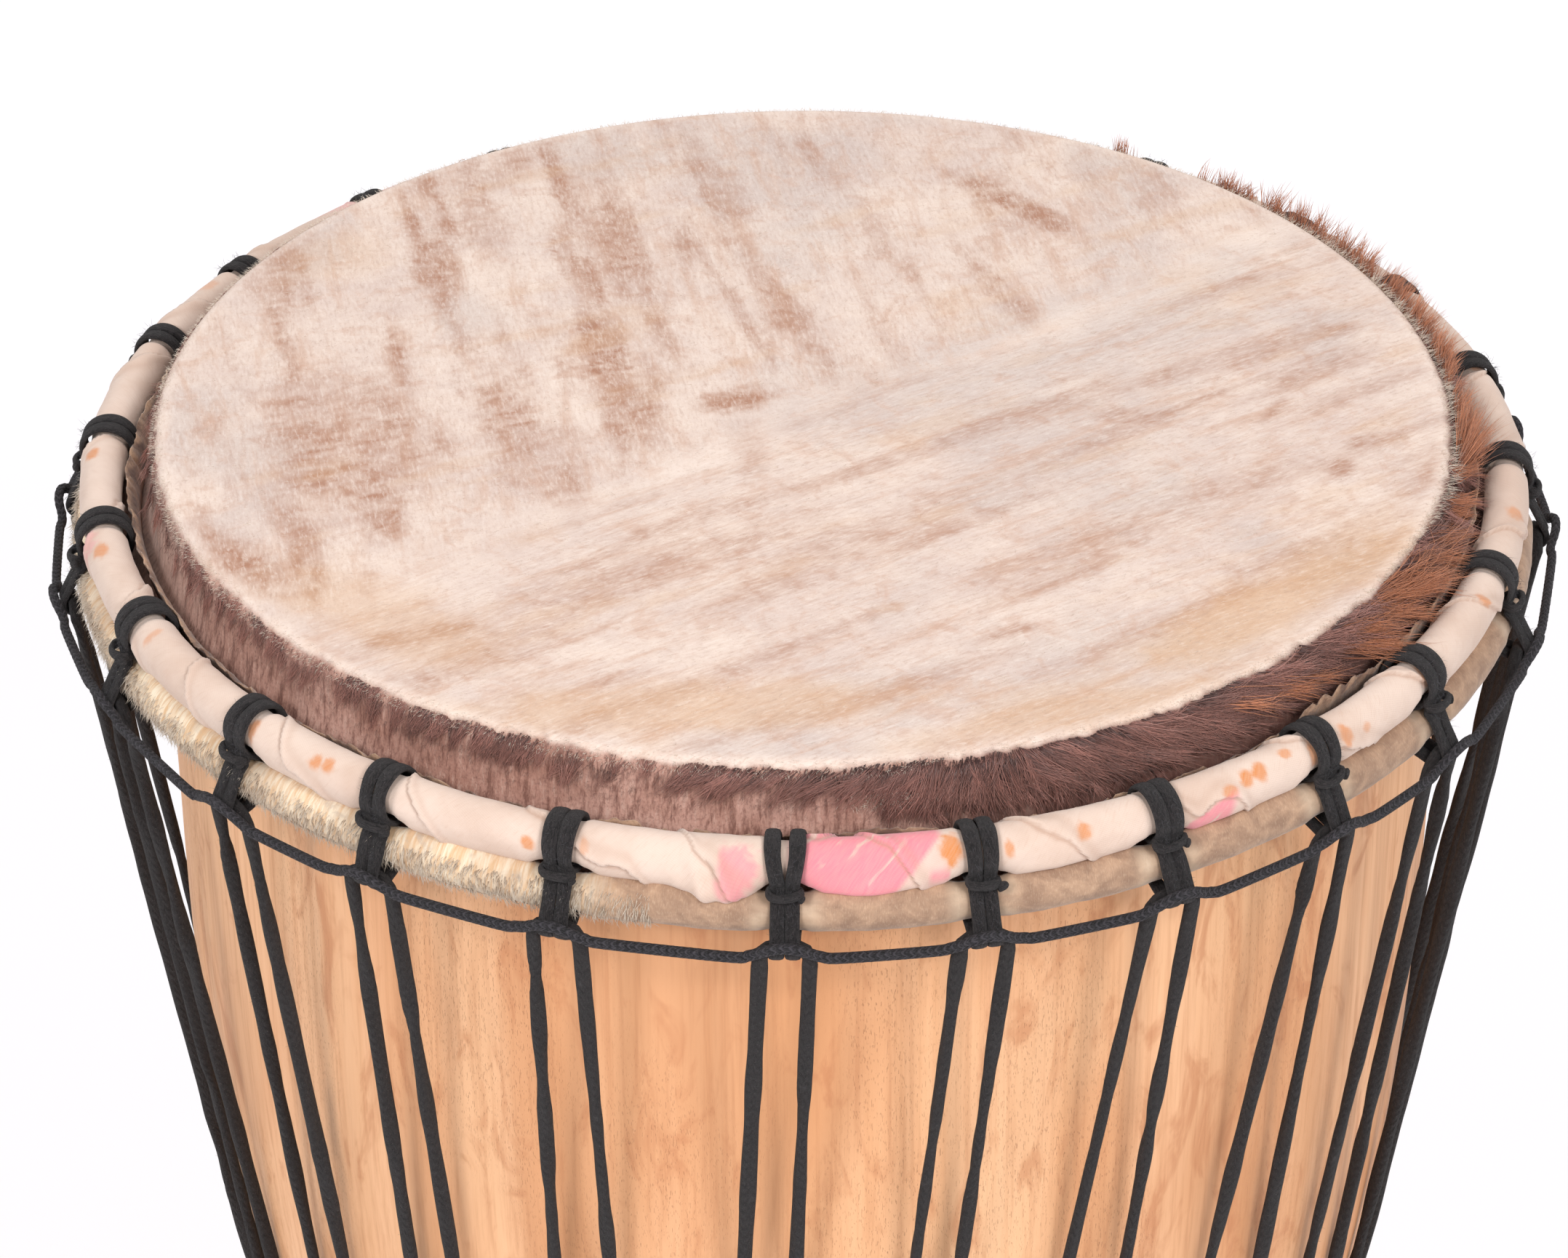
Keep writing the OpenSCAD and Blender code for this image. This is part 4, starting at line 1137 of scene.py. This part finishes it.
def make_bottom_cloth():
    """The bottom ring's strip, wound more evenly."""
    around_n, tube_n = 1080, 28
    wraps = 26
    a = SEAM + np.arange(around_n) * 360 / around_n
    A, F = np.meshgrid(a, 110 + np.arange(tube_n) * 360 / tube_n, indexing="ij")
    strip = (wraps * A / 360 + F / 360 + 0.25 * ring_noise(A, 0, 7, seed=121)) % 1
    X, Y, Z = np.moveaxis(on_tube(BOTTOM_R, BOTTOM_Z, A, F, BOTTOM_T), -1, 0)
    R = BOTTOM_T - 0.75 + 0.5 * (1 - smoothstep(0, 0.12, strip)) + 0.25 * (1 - strip)
    R = R + 0.25 * fbm(X / 8, Y / 8, Z / 5, seed=123)
    pink = 0.7 * smoothstep(0.35, 0.5, ring_noise(A, 0, 4, seed=125))
    pink = pink * smoothstep(-0.3, 0.1, fbm(X, Y, Z, seed=124))
    orange = smoothstep(0.42, 0.5, fbm(X / 9, Y / 9, Z / 9, seed=126))
    b = Build()
    b.grid(on_tube(BOTTOM_R, BOTTOM_Z, A, F, R), closed=True, flip=True, pink=pink, orange=orange,
           **wound_strip(A, F, strip, BOTTOM_R, BOTTOM_T))
    b.make("bottom_cloth", [CLOTH_LOW], ["bottom_ring_cloth"])


# ---------------------------------------------------------------- loops
def add_strand(build, bearing, flat, side, half_w, half_t=0.78, closed=False, lean=0.0, wobble=0.12):
    """flat is a path of (radius, height) and side its offset round the drum at each point."""
    step = 0.75
    flat3 = np.concatenate([flat, np.reshape(side, (-1, 1)) + 0 * flat[:, :1]], 1)
    line = resample(flat3, step, closed)
    path = place(line[:, 0], bearing, line[:, 1], line[:, 2] + lean * (line[:, 1] - CROWN_Z))
    ahead = np.roll(line, -1, 0) - line if closed else np.gradient(line, axis=0)
    s = np.arange(len(path)) * step
    wide = half_w * (1 + wobble * noise(s / 5, np.full(len(s), bearing), seed=131))
    build.strand(path, place(ahead[:, 1], bearing, -ahead[:, 0]), wide, half_t, closed=closed)
    return path


def add_band(build, bearing, centre, half_side, half_out, half_w, tilt):
    """A hitch: a closed turn that lies level round both strands."""
    t = np.linspace(0, TAU, 40, endpoint=False)
    side = half_side * np.cos(t)
    height = centre[1] + tilt * side + 0.25 * np.sin(2 * t + tilt * 9)
    path = place(centre[0] + half_out * np.sin(t), bearing, height, side)
    normal = place(np.sin(t) / half_out, bearing, 0 * t, np.cos(t) / half_side)
    wide = half_w * (1 + 0.18 * noise(t * 2, np.full(40, bearing), seed=133))
    build.strand(path, normal, wide, 0.75, closed=True)


def add_ear(build, bearing, centre, reach, tilt):
    """The turn's rope end, tucked so that it shows as a small ear."""
    t = np.linspace(0, 1, 7)
    side = 3.2 + reach * np.sin(t * math.pi / 2)
    path = place(centre[0] + 0.9 - 1.2 * t, bearing, centre[1] + tilt * side - 0.7 + 0.5 * t, side)
    wide = 1.15 * np.sqrt(1 - 0.92 * t ** 3)
    build.strand(path, place(1.0 + 0 * t, bearing, 0 * t), wide, 0.8 * wide, sides=8)


def make_upper_loops():
    """Over the crown ring, pinched in the groove between the rings, and down to an eye. Returns points
    that fluff grows from."""
    b = Build()
    fluff_at = []
    flesh_r = FLESH_T + 0.75
    crown, flesh = np.array([CROWN_R, CROWN_Z]), np.array([FLESH_R, FLESH_Z])
    groove = (crown + flesh) / 2 + np.array([FLESH_T + 1.5, 1.6])
    turn = np.linspace(-100, 260, 60)[:-1]
    top = smoothstep(-40, 60, turn) * smoothstep(230, 150, turn)
    eye = arc(UPPER_EYE, ROPE_R + 0.95, 26, -106, 14)
    legs = np.concatenate([[groove + [-1.4, 1.6]], arc(flesh, flesh_r, 58, 26, 10), eye,
                           arc(flesh, flesh_r - 0.3, -106, -140, 5)])
    legs_side = 1.65 + 0.3 * smoothstep(0.2, 0.7, np.linspace(0, 1, len(legs)))
    for i in range(LOOPS):
        bearing = upper_bearing(i)
        lean = rng.normal(0, 0.03)
        over = arc(crown, CROWN_T + 0.4 - far_back(bearing), -100, 260, 60)[:-1]
        pinched, spread = (1.6, 2.9) if i == 0 else (1.75, rng.uniform(1.85, 2.1))
        for side in (-1, 1):
            over_side = pinched + (spread - pinched) * top
            for path in (add_strand(b, bearing, over, side * over_side, 1.95, closed=True, lean=lean),
                         add_strand(b, bearing, legs, side * legs_side, 1.85, lean=lean)):
                fluff_at.append(path[:len(path) // 2])
        tilt = rng.uniform(-0.12, 0.12)
        add_band(b, bearing, groove - [1.1, 0], 3.7 + rng.uniform(-0.2, 0.3), 2.3, 1.2, tilt)
        add_ear(b, bearing, groove - [0.2, 0], rng.uniform(0.8, 2.2), tilt)
    b.make("upper_rope_loops", [ROPE], ["upper_loops"])
    return np.concatenate(fluff_at)


def make_lower_loops():
    """From the bottom ring up to an eye on the bowl."""
    b = Build()
    bottom = np.array([BOTTOM_R, BOTTOM_Z])
    reach = LOWER_EYE - bottom
    facing = math.degrees(math.atan2(reach[1], reach[0]))
    loop = np.concatenate([arc(LOWER_EYE, ROPE_R + 1.05, facing - 80, facing + 80, 14),
                           arc(bottom, BOTTOM_T + 0.75, facing + 100, facing + 260, 22)])
    for i in range(LOOPS):
        for side in (-1, 1):
            add_strand(b, lower_bearing(i), loop, side * 1.75, 1.6, 0.8, closed=True, wobble=0.1)
        add_band(b, lower_bearing(i), bottom + reach * 0.62, 3.3, 2.6, 1.1, rng.uniform(-0.1, 0.1))
    b.make("lower_rope_loops", [ROPE], ["lower_loops"])


# ---------------------------------------------------------------- lacing
def fall(i, side):
    """The rope from an upper eye, straight to where it meets the bowl, and down along the bowl."""
    up = upper_bearing(i)
    start = up + side * math.degrees(UPPER_HALF / UPPER_EYE[0])
    lower = lower_bearing(i) if side > 0 else lower_bearing(i - 1)
    end = lower - side * math.degrees(LOWER_HALF / LOWER_EYE[0])
    z = np.linspace(TOUCH_Z, LOWER_EYE[1] + 12, 12)
    share = (UPPER_EYE[1] - z) / (UPPER_EYE[1] - LOWER_EYE[1])
    r, z = off_shell(z, ROPE_R + 0.55).T
    bowl = place(r, start + (end - start) * share, z)
    top = place(UPPER_EYE[0] - 0.6, up, UPPER_EYE[1] - 4.5, side * (UPPER_HALF + 0.1))
    straight = top + (bowl[0] - top) * np.linspace(0, 1, 70)[:, None]
    return np.concatenate([straight[:-1], bowl])


def lacing_path():
    """Up a fall, over through an upper eye, down the next, through a lower eye, and on round the drum."""
    parts = []
    for i in range(BACK, BACK + LOOPS):
        t = np.radians(np.linspace(165, 15, 9))
        arch = place(UPPER_EYE[0], upper_bearing(i), UPPER_EYE[1] - 3.4 + 3.4 * np.sin(t) ** 0.8,
                     UPPER_HALF * np.cos(t))
        dip = 1 - np.sin(t)
        sag = place(LOWER_EYE[0] + 2.4 * dip, lower_bearing(i), LOWER_EYE[1] + 2.6 * dip,
                    LOWER_HALF * np.cos(t))
        parts += [arch, fall(i, 1), sag, fall(i + 1, -1)[::-1]]
    return np.concatenate(parts)


def make_lacing():
    """Returns the line that the rope follows."""
    step = 2.3
    line = resample(lacing_path(), step, closed=True)
    s = np.arange(len(line)) * step
    bend_z = UPPER_EYE[1] - 7
    twist = 2.6 * noise(s / 85, seed=141) + 0.9 * noise(s / 21, seed=142)
    twist = twist * smoothstep(0, 20, bend_z - line[:, 2])
    swell = smoothstep(UPPER_EYE[1] - 6, UPPER_EYE[1] - 3, line[:, 2])
    wide = 1.95 + 0.2 * noise(s / 13, seed=143) - 0.3 * swell
    thick = 1.35 + 0.14 * noise(s / 9, seed=144) + 0.2 * swell
    bearing = np.degrees(np.arctan2(line[:, 0], -line[:, 1]))
    flecks = smoothstep(0.1, 0.5, noise(s / 3, seed=145))
    rusty = (0.8 * bell(around(bearing, 71.6), 0, 0.8) + 0.3 * bell(around(bearing, -78.5), 0, 0.6)) * flecks
    b = Build()
    b.strand(line, unit(line * [1, 1, 0]), wide, thick, closed=True, twist=twist, rusty=rusty)
    b.make("lacing_falls", [FALL], ["lacing_rope"])
    return line


# The cord's way over a loop, from its side to its middle: mm to the side, outward and up
CORD_HUMP = [(13, 0, -0.3), (8.6, 0, 0.0), (6.2, 0.4, 0.7), (4.2, 1.2, 2.0), (2, 1.7, 2.9), (0, 1.8, 3.1)]


def make_running_cord():
    """Thin plaited cord that hangs between the loops and humps over each."""
    hump = [(-side, out, up) for side, out, up in CORD_HUMP] + CORD_HUMP[-2::-1]
    rest_r, rest_z = UPPER_EYE[0] + 3.1, UPPER_EYE[1] - 0.4
    points = []
    for i in range(BACK, BACK + LOOPS):
        droop = rng.uniform(-0.5, 0.4)
        for side, out, up in hump:
            sag = droop if abs(side) > 8 else 0
            points.append(place(rest_r + out, upper_bearing(i), rest_z + up + sag, side))
    closed = np.array(points[-2:] + points + points[:2])
    step = 0.8
    line = resample(catmull(closed, 6)[12:-12], step, closed=True)
    plait = 0.07 * np.sin(np.arange(len(line)) * step * TAU / 2.0)
    b = Build()
    b.strand(line, unit(line * [1, 1, 0]), 1.3 + plait, 1.15 - plait, closed=True)
    b.make("running_braid", [CORD], ["running_cord"])


def make_knot():
    """Joins the rope's ends: a trefoil knot with two short sealed ends."""
    b = Build()
    bearing = lower_bearing(LOOPS // 2)
    centre_z = box_mm("rope_knot")[1][2] - 4.2
    out_of_shell = off_shell(LOWER_EYE[1], 1.0) - off_shell(LOWER_EYE[1], 0.0)
    centre_r = (LOWER_EYE + (ROPE_R + STRAP_T + 5.0) * out_of_shell)[0]
    t = np.linspace(0, TAU, 90, endpoint=False)
    side = 1.35 * (np.sin(t) + 2 * np.sin(2 * t))
    up = 1.35 * (np.cos(t) - 2 * np.cos(2 * t))
    path = place(centre_r - 1.7 * np.sin(3 * t), bearing, centre_z + up, side)
    b.strand(path, place(1.0 + 0 * t, bearing, 0 * t), 1.5, 1.25, closed=True)
    u = np.linspace(0, 1, 16)
    taper = np.where(u > 0.93, 0.75, 1.0)
    for way in (-1, 1):
        side = way * (1.5 + 5.2 * u + 0.8 * np.sin(3 * u))
        tail = place(centre_r + u, bearing, centre_z - 2 - 10.5 * u, side)
        b.strand(tail, place(1.0 + 0 * u, bearing, 0 * u), 1.5 * taper, 1.25 * taper)
    b.make("joining_knot", [ROPE], ["rope_knot"])


def make_fluff(loop_points, lacing_line):
    """Short fibres that stand off the ropes."""
    b = Build()
    n = 4200
    near = loop_points[rng.integers(0, len(loop_points), n)]
    far = lacing_line[rng.integers(0, len(lacing_line), n)]
    for points, size, length in ((near, 1.7, (0.8, 2.2)), (far, 1.5, (0.6, 1.6))):
        away = unit(unit(points * [1, 1, 0]) * 1.1 + rng.normal(0, 0.6, (n, 3)))
        hairs(b, points + away * 0.7 * size, away + rng.normal(0, 0.5, (n, 3)), rng.uniform(*length, n),
              0.045, rings=3, curl=rng.normal(0, 0.5, n), tone=rng.uniform(0, 1, n))
    b.make("rope_fluff", [FLUFF])


def make_drum():
    make_shell()
    make_head_skin()
    make_roll()
    make_skin_edge()
    make_crown_cloth()
    make_bottom_cloth()
    loop_points = make_upper_loops()
    make_lower_loops()
    lacing_line = make_lacing()
    make_running_cord()
    make_knot()
    make_collar_hair()
    make_standing_hair()
    make_stubble()
    make_pale_fuzz()
    make_roll_hair()
    make_fluff(loop_points, lacing_line)
    for name in ("flesh_ring", "crown_ring", "bottom_ring"):
        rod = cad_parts[name].data
        rod.materials.clear()
        rod.materials.append(STEEL)


# ---------------------------------------------------------------- camera, light and floor
def make_camera():
    """Looks from in front and above at the head. Angles are in degrees, distance in metres."""
    distance, elevation, pan, tilt, roll = 1.470, 30.28, 0.196, -2.22, 0.181
    e = math.radians(elevation)
    eye = Vector((0, 0, DRUM_H * MM)) + distance * Vector((0, -math.cos(e), math.sin(e)))
    ahead = Vector((0, math.cos(e), -math.sin(e)))
    right = Vector((1, 0, 0))
    up = right.cross(ahead)

    def turned(axis, degrees, *vectors):
        m = Matrix.Rotation(math.radians(degrees), 3, axis)
        return [m @ v for v in vectors]

    ahead, right = turned(up, pan, ahead, right)
    ahead, up = turned(right, tilt, ahead, up)
    right, up = turned(ahead, roll, right, up)
    data = bpy.data.cameras.new("camera")
    data.sensor_width = 36
    data.lens = 132.7
    data.clip_start, data.clip_end = 0.05, 50
    camera = bpy.data.objects.new("camera", data)
    camera.matrix_world = Matrix.Translation(eye) @ Matrix((right, up, -ahead)).transposed().to_4x4()
    bpy.context.scene.collection.objects.link(camera)
    bpy.context.scene.camera = camera


def make_light(name, bearing, elevation, distance, size, watts):
    """A square lamp that faces the upper part of the drum. Sizes are in metres."""
    data = bpy.data.lights.new(name, "AREA")
    data.shape = "SQUARE"
    data.size, data.energy = size, watts
    light = bpy.data.objects.new(name, data)
    b, e = math.radians(bearing), math.radians(elevation)
    way = Vector((math.sin(b) * math.cos(e), -math.cos(b) * math.cos(e), math.sin(e)))
    light.location = Vector((0, 0, DRUM_H * MM * 0.75)) + way * distance
    light.rotation_mode = "QUATERNION"
    light.rotation_quaternion = way.to_track_quat("Z", "Y")
    bpy.context.scene.collection.objects.link(light)


def make_floor():
    size, cells = 12, 8
    line = np.linspace(-size / 2, size / 2, cells + 1)
    X, Y = np.meshgrid(line, line, indexing="ij")
    i, j = [k.ravel() for k in np.meshgrid(np.arange(cells), np.arange(cells), indexing="ij")]
    corner = i * (cells + 1) + j
    quads = np.stack([corner, corner + cells + 1, corner + cells + 2, corner + 1], -1)
    mesh = bpy.data.meshes.new("floor")
    mesh.from_pydata(np.stack([X, Y, 0 * X], -1).reshape(-1, 3).tolist(), [], quads.tolist())
    mesh.materials.append(paper_material())
    floor = bpy.data.objects.new("floor", mesh)
    bpy.context.scene.collection.objects.link(floor)


def make_studio():
    make_floor()
    world = bpy.data.worlds.new("studio")
    world.use_nodes = True
    back = world.node_tree.nodes["Background"]
    back.inputs["Color"].default_value = (1.0, 0.985, 0.975, 1)
    back.inputs["Strength"].default_value = 0.62
    bpy.context.scene.world = world
    make_light("left_box", -27, 37, 1.9, 0.45, 12.5)
    make_light("right_box", 26, 36, 1.9, 0.45, 13.5)
    make_light("back_box", 180, 50, 3.0, 2.5, 28)
    bpy.context.scene.view_settings.view_transform = "Standard"


make_drum()
make_camera()
make_studio()
